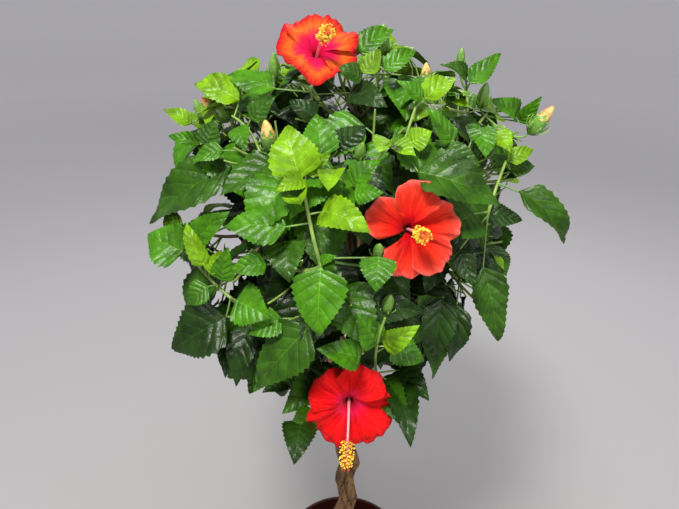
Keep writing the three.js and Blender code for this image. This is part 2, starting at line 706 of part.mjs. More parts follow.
function bloomSolids(open, mass) {
  const facing = heading(open.azimuth, open.elevation);
  const throat = vec(open.throat);
  const neck = throat.clone().addScaledVector(facing, -bloom.neck);
  const root = nearestOn(mass, neck);
  const bend = neck.clone().addScaledVector(facing, -0.4 * neck.distanceTo(root));
  const stalk = new THREE.QuadraticBezierCurve3(root, bend, neck.clone().addScaledVector(facing, 4));
  const tip = throat.clone().addScaledVector(heading(open.azimuth, open.columnElevation), bloom.column);
  const column = new THREE.LineCurve3(neck.clone().addScaledVector(facing, bloom.neck - 2), tip);
  return [
    corollaSolid(neck, throat, facing),
    limb(stalk, taper(2, 1.8), 3, 3),
    limb(column, (share) => [2, 2, 4.5, 2][Math.round(share * 3)], 4, 3),
  ];
}

// A leaf in front of an open bloom, or between it and the eye, would hide it.
function hidesBloom(made) {
  return blooms.some((open) => {
    const throat = vec(open.throat);
    const ways = [heading(open.azimuth, open.elevation), eye.clone().sub(throat).normalize()];
    return ways.some((way) =>
      [0.1, 0.4, 0.7, 1].some((share) => {
        const away = mix(made.base, made.tip, share).sub(throat);
        const ahead = away.dot(way);
        const aside = Math.sqrt(Math.max(0, away.lengthSq() - ahead * ahead));
        return ahead > -12 && ahead < 170 && aside < bloom.clearRadius;
      }),
    );
  });
}

const isBladeInside = (made) => [0.15, 0.5, 0.8, 1].every((share) => isSeenInside(mix(made.base, made.tip, share)));

// A leaf whose stalk turns back into the crown finds no light.
const pointsInward = (made, mass) => made.base.clone().sub(made.root).dot(mass.outward) < 0;

function cornersOf(solid) {
  const { vertProperties } = solid.getMesh();
  return Array.from({ length: vertProperties.length / 3 }, (_, i) => vec(vertProperties.subarray(3 * i, 3 * i + 3)));
}

const apart = (a, b) => ["0", "1", "2"].some((axis) => a.max[axis] < b.min[axis] || b.max[axis] < a.min[axis]);

// Whether a solid touches none of the others. Their boxes are compared first.
function misses(solid, others) {
  const box = solid.boundingBox();
  return others.every((other) => apart(box, other.boundingBox()) || other.intersect(solid).isEmpty());
}

const isInside = (solid, mass, slack) => cornersOf(solid).every((corner) => isWithin(corner, mass, slack));
const foreign = (mass) => masses.filter((other) => other !== mass).flatMap((other) => other.grown);

// First the stem and shoots of every mass, each within its own space.
function growShoots(limbs) {
  for (const mass of masses) {
    mass.grown = [limb(mass.stemLine, taper(twig.stemRadius, twig.shootRadius), 3, twig.steps)];
    for (const shoot of mass.shoots) {
      const rod = limb(shoot.line, taper(twig.shootRadius, twig.tipRadius), 3, twig.steps);
      if (!isInside(rod, mass, 0) || !misses(rod, [limbs])) continue;
      shoot.rod = rod;
      mass.grown.push(rod);
    }
  }
}

// Then the blooms, buds and front leaves, each on the nearest mass where it is clear of limbs and other masses.
function growFeatures(limbs) {
  const place = (mass, solids) => {
    const isFree = solids.every((solid) => misses(solid, [limbs, ...foreign(mass)]));
    if (isFree) mass.grown.push(...solids);
    return isFree;
  };
  const placeNear = (point, solidsOn) => {
    const away = (mass) => point.distanceTo(mass.heart);
    const nearest = [...masses].sort((a, b) => away(a) - away(b)).slice(0, 3);
    nearest.some((mass) => place(mass, solidsOn(mass)));
  };
  for (const open of blooms) place(massNamed(open.on), bloomSolids(open, massNamed(open.on)));
  for (const bud of buds) placeNear(vec(bud.at), (mass) => budSolids(bud, mass));
  frontLeaves.forEach((mark, number) => {
    const base = seenAt(mark.base, mark.out[0]);
    placeNear(base, (mass) => [leafSolid(frontLeaf(mark, number, base, mass))]);
  });
}

// Last the leaves, the youngest first, where there is room: clear of limbs, other masses and the mass itself.
function growLeaves(limbs) {
  for (const mass of masses) {
    const others = [limbs, ...foreign(mass)];
    const shoots = mass.shoots.filter((shoot) => shoot.rod);
    const leaves = shoots.flatMap((shoot) => shoot.leaves.map((made) => ({ ...made, rod: shoot.rod })));
    leaves.sort((a, b) => b.youth - a.youth);
    for (const made of leaves) {
      if (hidesBloom(made) || pointsInward(made, mass) || !isBladeInside(made)) continue;
      const solid = leafSolid(made);
      const own = mass.grown.filter((part) => part !== made.rod);
      if (!isInside(solid, mass, leafOverhang) || !misses(solid, [...others, ...own])) continue;
      mass.grown.push(solid);
    }
  }
}

// ---- the plant ----

const finishes = {
  pot: new THREE.MeshStandardMaterial({ color: 0x3a1512, roughness: 0.45, metalness: 0 }),
  soil: new THREE.MeshStandardMaterial({ color: 0x1d1510, roughness: 1, metalness: 0 }),
  bark: new THREE.MeshStandardMaterial({ color: 0x7b6650, roughness: 0.9, metalness: 0 }),
  foliage: new THREE.MeshStandardMaterial({ color: 0x2f6a1e, roughness: 0.4, metalness: 0 }),
};

const plant = new THREE.Group();

function add(name, solid, finish) {
  const mesh = new THREE.Mesh(geometryOf(solid), finishes[finish].clone());
  mesh.name = name;
  plant.add(mesh);
}

add("pot", potSolid(), "pot");
add("soil", soilSolid(), "soil");
stemLines.forEach((line, number) => add("stem_" + (number + 1), stemSolid(line), "bark"));

// Each bough is cut where it meets a stem, and where it passes a bough before it.
let limbs = wasm.Manifold.union(stemLines.map((line) => stemSolid(line, clearance)));
for (const mass of masses) {
  const boughSolid = (extra) =>
    limb(mass.boughLine, taper(bough.radius + extra, bough.tipRadius + extra), bough.sides, bough.steps);
  add("bough_" + mass.name, largestBody(boughSolid(0).subtract(limbs)), "bark");
  limbs = limbs.add(boughSolid(clearance));
}

growShoots(limbs);
growFeatures(limbs);
growLeaves(limbs);
for (const mass of masses) {
  add("leaves_" + mass.name, largestBody(wasm.Manifold.union(mass.grown)), "foliage");
}

export default plant;
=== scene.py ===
import math

import bmesh
import bpy
from mathutils import Matrix, Vector, noise


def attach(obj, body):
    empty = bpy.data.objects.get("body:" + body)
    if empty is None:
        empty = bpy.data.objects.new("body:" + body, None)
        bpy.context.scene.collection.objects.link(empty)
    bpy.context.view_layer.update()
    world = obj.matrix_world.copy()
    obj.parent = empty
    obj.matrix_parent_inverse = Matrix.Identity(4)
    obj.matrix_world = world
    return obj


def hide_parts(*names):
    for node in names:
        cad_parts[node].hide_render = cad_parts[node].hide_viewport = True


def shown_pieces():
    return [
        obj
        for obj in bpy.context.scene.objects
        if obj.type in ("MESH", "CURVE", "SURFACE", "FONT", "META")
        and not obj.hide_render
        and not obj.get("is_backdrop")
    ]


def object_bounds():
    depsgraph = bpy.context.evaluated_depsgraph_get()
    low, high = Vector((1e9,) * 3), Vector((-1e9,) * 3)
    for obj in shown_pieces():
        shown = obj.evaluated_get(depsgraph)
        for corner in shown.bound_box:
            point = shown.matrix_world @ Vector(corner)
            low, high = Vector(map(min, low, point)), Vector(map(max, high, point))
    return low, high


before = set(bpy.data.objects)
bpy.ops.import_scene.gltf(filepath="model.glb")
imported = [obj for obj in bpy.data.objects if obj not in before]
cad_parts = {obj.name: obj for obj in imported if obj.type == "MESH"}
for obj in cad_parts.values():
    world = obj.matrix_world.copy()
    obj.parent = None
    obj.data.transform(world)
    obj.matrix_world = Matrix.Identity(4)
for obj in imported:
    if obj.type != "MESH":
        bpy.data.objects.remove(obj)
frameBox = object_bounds()
scene = bpy.context.scene
up = Vector((0, 0, 1))
goldenTurn = math.radians(137.508)
print("frame loaded:", len(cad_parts), "nodes")

# ---- camera, lights and floor ----

cameraSetup = {
    "place": (-0.020, -0.743, 1.293),
    "pitch": 27.3,  # degrees below level
    "roll": 0.95,
    "lens": 29.69,
    "sensor": 36,
    "frame": (679, 509),
    "clipEnd": 200,
}
lightSetup = {
    "sky": (0.80, 0.79, 0.825),
    "skyStrength": 0.50,
    "lamps": [  # name, place, aimed at, size, watts, colour
        ("key", (-0.40, -1.05, 2.65), (0, -0.05, 0.95), 0.45, 56, (1.0, 0.98, 0.94)),
        ("fill", (0.7, -1.7, 1.5), (0, 0, 0.95), 0.9, 13, (1.0, 0.99, 0.97)),
        ("back", (0.6, 1.7, 2.3), (0, 0, 1.0), 1.0, 18, (1.0, 0.98, 0.95)),
    ],
}
# The floor's colour holds painted shade and light: it is darker near the pot and paler far off.
floorSetup = {
    "size": 60.0,
    "reach": 14.0,  # metres from the pot over which the tones run
    "tones": [  # share of that reach and the colour there
        (0.0, (0.38, 0.375, 0.37)),
        (0.14, (0.62, 0.615, 0.63)),
        (0.45, (0.88, 0.87, 0.89)),
        (1.0, (0.95, 0.94, 0.965)),
    ],
}


def cameraAxes():  # the camera's right, its top and the way it looks
    pitch = math.radians(cameraSetup["pitch"])
    roll = math.radians(cameraSetup["roll"])
    ahead = Vector((0, math.cos(pitch), -math.sin(pitch)))
    level = Vector((1, 0, 0))
    upright = level.cross(ahead)
    right = level * math.cos(roll) + upright * math.sin(roll)
    return right, upright * math.cos(roll) - level * math.sin(roll), ahead


def placeCamera():
    right, top, ahead = cameraAxes()
    data = bpy.data.cameras.new("camera")
    data.lens = cameraSetup["lens"]
    data.sensor_width = cameraSetup["sensor"]
    data.clip_end = cameraSetup["clipEnd"]
    camera = bpy.data.objects.new("camera", data)
    turn = Matrix((right, top, -ahead)).transposed().to_4x4()
    camera.matrix_world = Matrix.Translation(cameraSetup["place"]) @ turn
    scene.collection.objects.link(camera)
    scene.camera = camera


def placeLights():
    world = bpy.data.worlds.new("sky")
    world.use_nodes = True
    world.node_tree.nodes["Background"].inputs["Color"].default_value = (*lightSetup["sky"], 1)
    world.node_tree.nodes["Background"].inputs["Strength"].default_value = lightSetup["skyStrength"]
    scene.world = world
    for name, place, target, size, watts, colour in lightSetup["lamps"]:
        data = bpy.data.lights.new(name, "AREA")
        data.shape = "DISK"
        data.size = size
        data.energy = watts
        data.color = colour
        lamp = bpy.data.objects.new(name, data)
        lamp.location = place
        aim = Vector(target) - Vector(place)
        lamp.rotation_euler = aim.to_track_quat("-Z", "Y").to_euler()
        scene.collection.objects.link(lamp)


# ---- helpers for meshes, materials and node trees ----


def meshOf(name, points, faces):
    mesh = bpy.data.meshes.new(name)
    mesh.from_pydata([tuple(p) for p in points], [], faces, shade_flat=False)
    return mesh


def ringPoints(radius, height, sides):
    turns = [2 * math.pi * corner / sides for corner in range(sides)]
    return [(radius * math.cos(turn), radius * math.sin(turn), height) for turn in turns]


def ringFaces(rows, sides, first=0):  # the quads between rings of points that follow one another
    faces = []
    for row in range(rows):
        for corner in range(sides):
            a = first + row * sides + corner
            b = first + row * sides + (corner + 1) % sides
            faces.append((a, b, b + sides, a + sides))
    return faces


def tubeFaces(rows, sides, first=0):  # the same, with both ends closed
    last = first + rows * sides
    ends = [tuple(reversed(range(first, first + sides))), tuple(range(last, last + sides))]
    return ringFaces(rows, sides, first) + ends


def outwards(mesh):  # turns the faces of a closed mesh outwards
    shell = bmesh.new()
    shell.from_mesh(mesh)
    bmesh.ops.recalc_face_normals(shell, faces=shell.faces)
    shell.to_mesh(mesh)
    shell.free()
    return mesh


def addObject(name, mesh):
    made = bpy.data.objects.new(name, mesh)
    scene.collection.objects.link(made)
    return made


def dress(mesh, *materials):
    mesh.materials.clear()
    for material in materials:
        mesh.materials.append(material)


def newMaterial(name, **settings):  # a principled material; settings go straight on the shader's sockets
    material = bpy.data.materials.new(name)
    material.use_nodes = True
    shader = material.node_tree.nodes["Principled BSDF"]
    for label, value in settings.items():
        shader.inputs[label.replace("_", " ")].default_value = value
    return material, shader


def addNode(tree, kind, inputs=None, **settings):
    made = tree.nodes.new(kind)
    for key, value in settings.items():
        setattr(made, key, value)
    for label, value in (inputs or {}).items():
        made.inputs[label].default_value = value
    return made


def rampOf(tree, colours):  # a colour ramp with the given (place, colour) stops
    ramp = addNode(tree, "ShaderNodeValToRGB")
    while len(ramp.color_ramp.elements) < len(colours):
        ramp.color_ramp.elements.new(0.5)
    for element, (stop, colour) in zip(ramp.color_ramp.elements, colours):
        element.position = stop
        element.color = (*colour, 1)
    return ramp


def mottle(material, shader, colours, scale, stretch=(1, 1, 1), detail=4, source="Object"):
    # a noise blends the colours, given as (place, colour) stops; it and its mapping are given back
    tree = material.node_tree
    place = addNode(tree, "ShaderNodeTexCoord")
    mapping = addNode(tree, "ShaderNodeMapping", {"Scale": stretch})
    grain = addNode(tree, "ShaderNodeTexNoise", {"Scale": scale, "Detail": detail, "Roughness": 0.6})
    ramp = rampOf(tree, colours)
    tree.links.new(place.outputs[source], mapping.inputs["Vector"])
    tree.links.new(mapping.outputs["Vector"], grain.inputs["Vector"])
    tree.links.new(grain.outputs["Fac"], ramp.inputs["Fac"])
    tree.links.new(ramp.outputs["Color"], shader.inputs["Base Color"])
    return grain, mapping


def bump(material, shader, height, strength, distance):
    tree = material.node_tree
    relief = addNode(tree, "ShaderNodeBump", {"Strength": strength, "Distance": distance})
    tree.links.new(height, relief.inputs["Height"])
    tree.links.new(relief.outputs["Normal"], shader.inputs["Normal"])


def newTree(name, inputs):
    tree = bpy.data.node_groups.new(name, "GeometryNodeTree")
    tree.interface.new_socket("Geometry", in_out="INPUT", socket_type="NodeSocketGeometry")
    for label, kind, value in inputs:
        socket = tree.interface.new_socket(label, in_out="INPUT", socket_type="NodeSocket" + kind)
        if value is not None:
            socket.default_value = value
    tree.interface.new_socket("Geometry", in_out="OUTPUT", socket_type="NodeSocketGeometry")
    return tree


def chain(tree, *steps):  # links (node, output, node, input) one after another
    for source, output, target, label in steps:
        tree.links.new(source.outputs[output], target.inputs[label])


def readAttribute(tree, name, kind):
    return addNode(tree, "GeometryNodeInputNamedAttribute", {"Name": name}, data_type=kind)


def grow(name, mesh, tree, **values):  # runs a tree on a mesh and keeps the result as a plain mesh
    made = addObject(name, mesh)
    modifier = made.modifiers.new("grow", "NODES")
    modifier.node_group = tree
    for item in tree.interface.items_tree:
        if item.in_out == "INPUT" and item.name in values:
            modifier[item.identifier] = values[item.name]
    depsgraph = bpy.context.evaluated_depsgraph_get()
    result = bpy.data.meshes.new_from_object(made.evaluated_get(depsgraph))
    made.modifiers.remove(modifier)
    made.data = result
    result.name = name
    return made


def giveVectors(mesh, name, values):
    attribute = mesh.attributes.new(name, "FLOAT_VECTOR", "POINT")
    attribute.data.foreach_set("vector", [number for value in values for number in value])


def givePlaces(mesh, name, places):  # a UV map from one place for each vertex
    layer = mesh.uv_layers.new(name=name)
    for loop in mesh.loops:
        layer.data[loop.index].uv = places[loop.vertex_index]


def markParts(mesh, parts):  # tells the setting tree which faces are a back (1) and which are ribs (2)
    for label, part in (("isBack", 1), ("isRib", 2)):
        flags = mesh.attributes.new(label, "BOOLEAN", "FACE")
        flags.data.foreach_set("value", [each == part for each in parts])


def endNodes(tree):  # its way in and out, and before the end real copies and their material
    kinds = ("NodeGroupInput", "NodeGroupOutput", "GeometryNodeRealizeInstances", "GeometryNodeSetMaterial")
    return [addNode(tree, kind) for kind in kinds]


def makeSettingTree():
    # sets forms out on points, each turned and sized by the point's attributes, in three materials
    inputs = [("Forms", "Collection", None), ("Skin", "Material", None), ("Back", "Material", None)]
    tree = newTree("setting out", inputs + [("Ribs", "Material", None), ("Size", "Float", 1.0)])
    start, end, realize, skin = endNodes(tree)
    forms = addNode(tree, "GeometryNodeCollectionInfo", {"Separate Children": True, "Reset Children": True})
    setOut = addNode(tree, "GeometryNodeInstanceOnPoints", {"Pick Instance": True})
    turn = readAttribute(tree, "turn", "FLOAT_VECTOR")
    size = readAttribute(tree, "size", "FLOAT_VECTOR")
    form = readAttribute(tree, "form", "INT")
    scaled = addNode(tree, "ShaderNodeVectorMath", operation="SCALE")
    rotation = addNode(tree, "FunctionNodeEulerToRotation")
    back = addNode(tree, "GeometryNodeSetMaterial")
    ribs = addNode(tree, "GeometryNodeSetMaterial")
    isBack = readAttribute(tree, "isBack", "BOOLEAN")
    isRib = readAttribute(tree, "isRib", "BOOLEAN")
    chain(
        tree,
        (start, "Geometry", setOut, "Points"),
        (start, "Forms", forms, "Collection"),
        (forms, "Instances", setOut, "Instance"),
        (form, "Attribute", setOut, "Instance Index"),
        (turn, "Attribute", rotation, "Euler"),
        (rotation, "Rotation", setOut, "Rotation"),
        (size, "Attribute", scaled, 0),
        (start, "Size", scaled, "Scale"),
        (scaled, "Vector", setOut, "Scale"),
        (setOut, "Instances", realize, "Geometry"),
        (realize, "Geometry", skin, "Geometry"),
        (start, "Skin", skin, "Material"),
        (skin, "Geometry", back, "Geometry"),
        (start, "Back", back, "Material"),
        (isBack, "Attribute", back, "Selection"),
        (back, "Geometry", ribs, "Geometry"),
        (start, "Ribs", ribs, "Material"),
        (isRib, "Attribute", ribs, "Selection"),
        (ribs, "Geometry", end, "Geometry"),
    )
    return tree


def makeStrandTree():
    # turns lines of edges into closed tubes, as thick as the attribute of their points says
    tree = newTree("strands", [("Bark", "Material", None), ("Sides", "Int", 6), ("Size", "Float", 1.0)])
    start, end, realize, skin = endNodes(tree)
    line = addNode(tree, "GeometryNodeMeshToCurve")
    ring = addNode(tree, "GeometryNodeCurvePrimitiveCircle", {"Radius": 1.0})
    thick = readAttribute(tree, "thick", "FLOAT")
    scaled = addNode(tree, "ShaderNodeMath", operation="MULTIPLY")
    tube = addNode(tree, "GeometryNodeCurveToMesh", {"Fill Caps": True})
    smooth = addNode(tree, "GeometryNodeSetShadeSmooth")
    chain(
        tree,
        (start, "Geometry", line, "Mesh"),
        (start, "Sides", ring, "Resolution"),
        (thick, "Attribute", scaled, 0),
        (start, "Size", scaled, 1),
        (line, "Curve", tube, "Curve"),
        (ring, "Curve", tube, "Profile Curve"),
        (scaled, "Value", tube, "Scale"),
        (tube, "Mesh", smooth, "Geometry"),
        (smooth, "Geometry", realize, "Geometry"),
        (realize, "Geometry", skin, "Geometry"),
        (start, "Bark", skin, "Material"),
        (skin, "Geometry", end, "Geometry"),
    )
    return tree


def strandMesh(name, strands):  # each strand is a list of (point, radius)
    points, edges, thick = [], [], []
    for strand in strands:
        for number, (point, radius) in enumerate(strand):
            if number:
                edges.append((len(points) - 1, len(points)))
            points.append(tuple(point))
            thick.append(radius)
    mesh = bpy.data.meshes.new(name)
    mesh.from_pydata(points, edges, [])
    mesh.attributes.new("thick", "FLOAT", "POINT").data.foreach_set("value", thick)
    return mesh


def formCollection(name, meshes):  # kept out of the scene: only the node trees read it
    forms = bpy.data.collections.new(name)
    for number, mesh in enumerate(meshes):
        forms.objects.link(bpy.data.objects.new(f"{name}{number:02d}", mesh))
    return forms


def settingMesh(name, places):  # each place is (point, matrix of the form's axes, size, form's number)
    mesh = bpy.data.meshes.new(name)
    mesh.from_pydata([tuple(place[0]) for place in places], [], [])
    giveVectors(mesh, "turn", [place[1].to_euler() for place in places])
    giveVectors(mesh, "size", [place[2] for place in places])
    mesh.attributes.new("form", "INT", "POINT").data.foreach_set("value", [place[3] for place in places])
    return mesh


def axesMatrix(across, along, normal):
    return Matrix((across, along, normal)).transposed()


placeCamera()
placeLights()
settingTree = makeSettingTree()
strandTree = makeStrandTree()
print("camera, lights and node trees made")

# ---- the growth rule: directions, chance and curves ----


def heading(azimuth, elevation):  # azimuth from the front towards +X, and elevation, in degrees
    a = math.radians(azimuth)
    e = math.radians(elevation)
    return Vector((math.sin(a) * math.cos(e), -math.cos(a) * math.cos(e), math.sin(e)))


def chance(seed):  # a repeatable stream of numbers from 0 to 1
    state = (seed * 7919 + 12345) % 4294967296
    while True:
        state = (state * 1664525 + 1013904223) % 4294967296
        yield state / 4294967296


def between(random, low, high):
    return low + (high - low) * next(random)


def tilted(axis, tilt, turn):  # an axis tilted by an angle, towards a turn around it
    other = Vector((0, 1, 0)) if abs(axis.z) > 0.95 else up
    first = axis.cross(other).normalized()
    second = axis.cross(first)
    side = first * math.cos(turn) + second * math.sin(turn)
    return (axis * math.cos(tilt) + side * math.sin(tilt)).normalized()


def smoothstep(value, low, high):
    share = min(1, max(0, (value - low) / (high - low)))
    return share * share * (3 - 2 * share)


class Arc:
    # a curve from start to end that leans towards bend, and is walked by its length
    steps = 40

    def __init__(self, start, bend, end):
        self.ends = (start, bend, end)
        self.lengths = [0.0]
        for step in range(1, self.steps + 1):
            piece = (self.point(step / self.steps) - self.point((step - 1) / self.steps)).length
            self.lengths.append(self.lengths[-1] + piece)

    def point(self, t):
        start, bend, end = self.ends
        return start * (1 - t) ** 2 + bend * (2 * t * (1 - t)) + end * t * t

    def tangent(self, t):
        start, bend, end = self.ends
        return ((bend - start) * (1 - t) + (end - bend) * t).normalized()

    def along(self, share):
        wanted = share * self.lengths[-1]
        step = next((i for i in range(self.steps) if self.lengths[i + 1] >= wanted), self.steps - 1)
        rest = (wanted - self.lengths[step]) / (self.lengths[step + 1] - self.lengths[step])
        return self.point((step + rest) / self.steps)

    def places(self, count):
        return [self.along(n / (count - 1)) for n in range(count)]

    def walk(self, steps, radii):  # (point, radius) from one end to the other, for a strand
        low, high = radii
        return [(self.along(n / steps), low + (high - low) * n / steps) for n in range(steps + 1)]


# ---- the braided stems and the boughs ----

stemShape = {
    "count": 3,
    "foot": 0.2003,
    "footRadius": 0.0115,
    "radius": 0.0088,
    "tipRadius": 0.0062,
    "flareHeight": 0.055,
    "top": 0.800,
    "buried": 0.012,  # the growth rule's line starts this far under the soil
}
braidShape = {
    "sideways": 0.0132,
    "deep": 0.0136,
    "pitch": 0.268,
    "widest": 0.478,
    "breathing": 0.0017,
    "footSpread": 0.6,
    "end": 0.610,
    "spread": 0.046,
}
barkRelief = {
    "sides": 22,
    "rowHeight": 0.0025,
    "ridges": 7,
    "ridgeHeight": 0.0010,
    "swell": 0.0008,
    "wrinkle": 0.00035,
    "noiseScale": 55,
}
boughShape = {
    "radius": 0.0052,
    "taper": 0.0018,  # how much thinner it is at its mass
    "sides": 14,
    "rows": 40,
}


def flareAt(height):
    return max(0, 1 - (height - stemShape["foot"]) / stemShape["flareHeight"]) ** 2


def stemRadiusAt(height):
    thinning = smoothstep(height, braidShape["end"], stemShape["top"])
    flare = (stemShape["footRadius"] - stemShape["radius"]) * flareAt(height)
    return stemShape["radius"] + flare + (stemShape["tipRadius"] - stemShape["radius"]) * thinning


class StemLine:  # one strand of the plait, which parts above the braid into a leader of its own
    def __init__(self, number):
        self.phase = 2 * math.pi * number / stemShape["count"]
        end = Vector(self.plait(braidShape["end"]))
        self.away = end.normalized() * braidShape["spread"]

    def plait(self, height):
        turn = 2 * math.pi * (height - braidShape["widest"]) / braidShape["pitch"]
        angle = turn + math.pi / 2 + self.phase
        breath = braidShape["breathing"] * math.cos(2 * turn)
        widening = 1 + braidShape["footSpread"] * flareAt(height)
        x = (braidShape["sideways"] + breath) * widening * math.sin(angle)
        return x, (braidShape["deep"] - breath) * widening * math.sin(2 * angle)

    def atHeight(self, height):
        plaited = Vector(self.plait(min(height, braidShape["end"])))
        rise = smoothstep(height, braidShape["end"], stemShape["top"])
        place = plaited.lerp(self.away, rise)
        return Vector((place.x, place.y, height))

    def point(self, share):
        low = stemShape["foot"] - stemShape["buried"]
        return self.atHeight(low + (stemShape["top"] - low) * share)


stemLines = [StemLine(number) for number in range(stemShape["count"])]

# ---- masses of foliage: their places in the crown ----

crownShape = {
    "middle": 0.960,
    "radius": 0.276,
    "above": 0.260,
    "below": 0.188,
    "seed": 15000,
    "footShare": 0.42,  # where a mass starts, from the crown's middle to its outline
    "heartShare": 0.66,
    "tipShare": 0.93,
    "leafOverhang": 0.030,
    "clearance": 0.0003,
}
ringShapes = [
    {"name": "low", "elevation": -34, "count": 6, "first": -26, "forkAt": 0.79, "shoots": 5, "lift": 0.5},
    {"name": "middle", "elevation": 4, "count": 6, "first": -4, "forkAt": 0.86, "shoots": 6, "lift": 0.1},
    {"name": "upper", "elevation": 40, "count": 5, "first": -12, "forkAt": 0.93, "shoots": 6, "lift": -0.1},
    {"name": "top", "elevation": 86, "count": 1, "first": 0, "forkAt": 0.985, "shoots": 7, "lift": -0.05},
]
massReaches = {
    "low_2": 0.78,
    "low_3": 0.9,
    "middle_2": 0.8,
    "middle_3": 0.93,
    "middle_6": 0.92,
    "upper_2": 0.94,
    "top_1": 0.95,
}
bloomPlaces = [
    # the mass, the throat, the way the bloom faces, the way its column points and how far it reaches, and
    # the petals' size, their turns round the throat, spread to each side and how round their ends are
    {
        "on": "top_1",
        "throat": (-0.050, -0.072, 1.202),
        "azimuth": 8,
        "elevation": 46,
        "column": (17, 32, 0.78),
        "petals": {"size": 1.0, "turns": (0, 100, 162, 230, 288), "spread": 49, "round": 0.15},
    },
    {
        "on": "upper_1",
        "throat": (0.051, -0.212, 1.050),
        "azimuth": 8,
        "elevation": 20,
        "column": (11, 17, 0.72),
        "petals": {"size": 1.08, "turns": (10, 110, 182, 250, 318), "spread": 41, "round": 0.30},
    },
    {
        "on": "middle_1",
        "throat": (-0.006, -0.245, 0.846),
        "azimuth": 1,
        "elevation": 16,
        "column": (-3, -36, 0.97),
        "petals": {"size": 1.12, "turns": (45, 125, 198, 282, 345), "spread": 47, "round": 0.19},
    },
]


def crownPoint(direction, share):
    height = crownShape["above"] if direction.z > 0 else crownShape["below"]
    x = direction.x * crownShape["radius"] * share
    y = direction.y * crownShape["radius"] * share
    return Vector((x, y, crownShape["middle"] + direction.z * height * share))


def crownShare(point):  # how far out a point is, from the crown's middle to its outline
    height = crownShape["above"] if point.z > crownShape["middle"] else crownShape["below"]
    x = point.x / crownShape["radius"]
    y = point.y / crownShape["radius"]
    return math.sqrt(x * x + y * y + ((point.z - crownShape["middle"]) / height) ** 2)


def boughArc(mass):  # a bough leaves the nearest stem and arches out to the foot of its mass
    starts = [line.point(mass["ring"]["forkAt"]) for line in stemLines]
    start = min(starts, key=lambda place: (place - mass["foot"]).length)
    bend = start.lerp(mass["foot"], 0.5) + up * 0.12 * (start - mass["foot"]).length
    return Arc(start, bend + mass["outward"] * 0.012, mass["foot"])


def massStemArc(mass):
    end = mass["bough"].tangent(1)
    start = mass["foot"] + end * crownShape["clearance"]
    return Arc(start, start + end * 0.026, mass["heart"])


def makeMasses():
    masses = []
    for ringNumber, ring in enumerate(ringShapes):
        for number in range(ring["count"]):
            outward = heading(ring["first"] + 360 * number / ring["count"], ring["elevation"])
            name = f"{ring['name']}_{number + 1}"
            reach = massReaches.get(name, 1)
            mass = {"name": name, "ring": ring, "reach": reach, "outward": outward}
            mass["seed"] = crownShape["seed"] + 100 * (ringNumber + 1) + number
            mass["foot"] = crownPoint(outward, crownShape["footShare"] * reach)
            mass["heart"] = crownPoint(outward, crownShape["heartShare"] * reach)
            mass["bough"] = boughArc(mass)
            mass["stem"] = massStemArc(mass)
            masses.append(mass)
    return masses


masses = makeMasses()
massNamed = {mass["name"]: mass for mass in masses}
sites = [(mass, mass["heart"]) for mass in masses]
for bloom in bloomPlaces:
    ahead = heading(bloom["azimuth"], bloom["elevation"])
    sites.append((massNamed[bloom["on"]], Vector(bloom["throat"]) + ahead * 0.030))


def isWithin(point, mass, slack=0.0):  # every point belongs to the mass whose heart or bloom is nearest
    own = min((point - place).length for owner, place in sites if owner is mass)
    other = min((point - place).length for owner, place in sites if owner is not mass)
    return other - own > 2 * crownShape["clearance"] - slack


class Room:
    # remembers places by the cell of space they lie in, and says whether a new one would be too near
    def __init__(self, cell):
        self.cell = cell
        self.taken = {}

    def key(self, point):
        return tuple(math.floor(value / self.cell) for value in point)

    def add(self, *points):
        for point in points:
            self.taken.setdefault(self.key(point), []).append(point)

    def isFree(self, point, gap):
        x, y, z = self.key(point)
        for i in (x - 1, x, x + 1):
            for j in (y - 1, y, y + 1):
                for k in (z - 1, z, z + 1):
                    if any((place - point).length < gap for place in self.taken.get((i, j, k), ())):
                        return False
        return True


roomCell = 0.012
limbRoom = Room(roomCell)
for line in stemLines:
    limbRoom.add(*[line.point(step / 239) for step in range(240)])
for mass in masses:
    limbRoom.add(*mass["bough"].places(40))

# ---- shoots and the finer twigs on them ----

shootShape = {
    "spread": 27,
    "sag": 0.020,
    "stemRadii": (0.0036, 0.0030),
    "radii": (0.0027, 0.0016),
    "limbGap": 0.0072,
    "edgeSlack": 10,  # pixels that a tip may pass the crown's outline by
    "stemSteps": 8,
    "steps": 12,
    "woodSteps": 6,  # the first of the steps, which are woody
}
sideTwigShape = {
    "places": (0.22, 0.38, 0.54, 0.70, 0.84),  # shares of the way along a shoot
    "length": 0.085,
    "opening": 52,
    "toOut": 0.35,  # how much they turn out of the mass and up
    "toUp": 0.15,
    "sag": 0.006,
    "furthest": 0.93,  # share of the crown that their tips may reach
    "radii": (0.0017, 0.0011),
    "shortest": 0.03,
    "edgeSlack": 2,
    "steps": 5,
}


def shootArcs(mass, random):  # shoots leave the stem one by one, and fan out to the crown's outline
    arcs = []
    count = mass["ring"]["shoots"]
    for number in range(count):
        share = (number + 0.5) / count
        tilt = math.radians(shootShape["spread"] * math.sqrt(share) * between(random, 0.85, 1.15))
        direction = tilted(mass["outward"], tilt, number * goldenTurn + mass["seed"])
        start = mass["stem"].along(0.25 + 0.72 * (1 - share))
        tip = crownPoint(direction, crownShape["tipShare"] * mass["reach"] * between(random, 0.93, 1.03))
        bend = start.lerp(tip, 0.5) - up * shootShape["sag"] * between(random, 0.2, 1)
        arcs.append(Arc(start, bend, tip))
    return arcs


def isClear(arc, mass):
    places = [arc.along(share) for share in (0.15, 0.3, 0.45, 0.6, 0.75, 0.9, 1)]
    inside = all(isWithin(place, mass, -0.002) for place in places)
    return inside and all(limbRoom.isFree(place, shootShape["limbGap"]) for place in places)


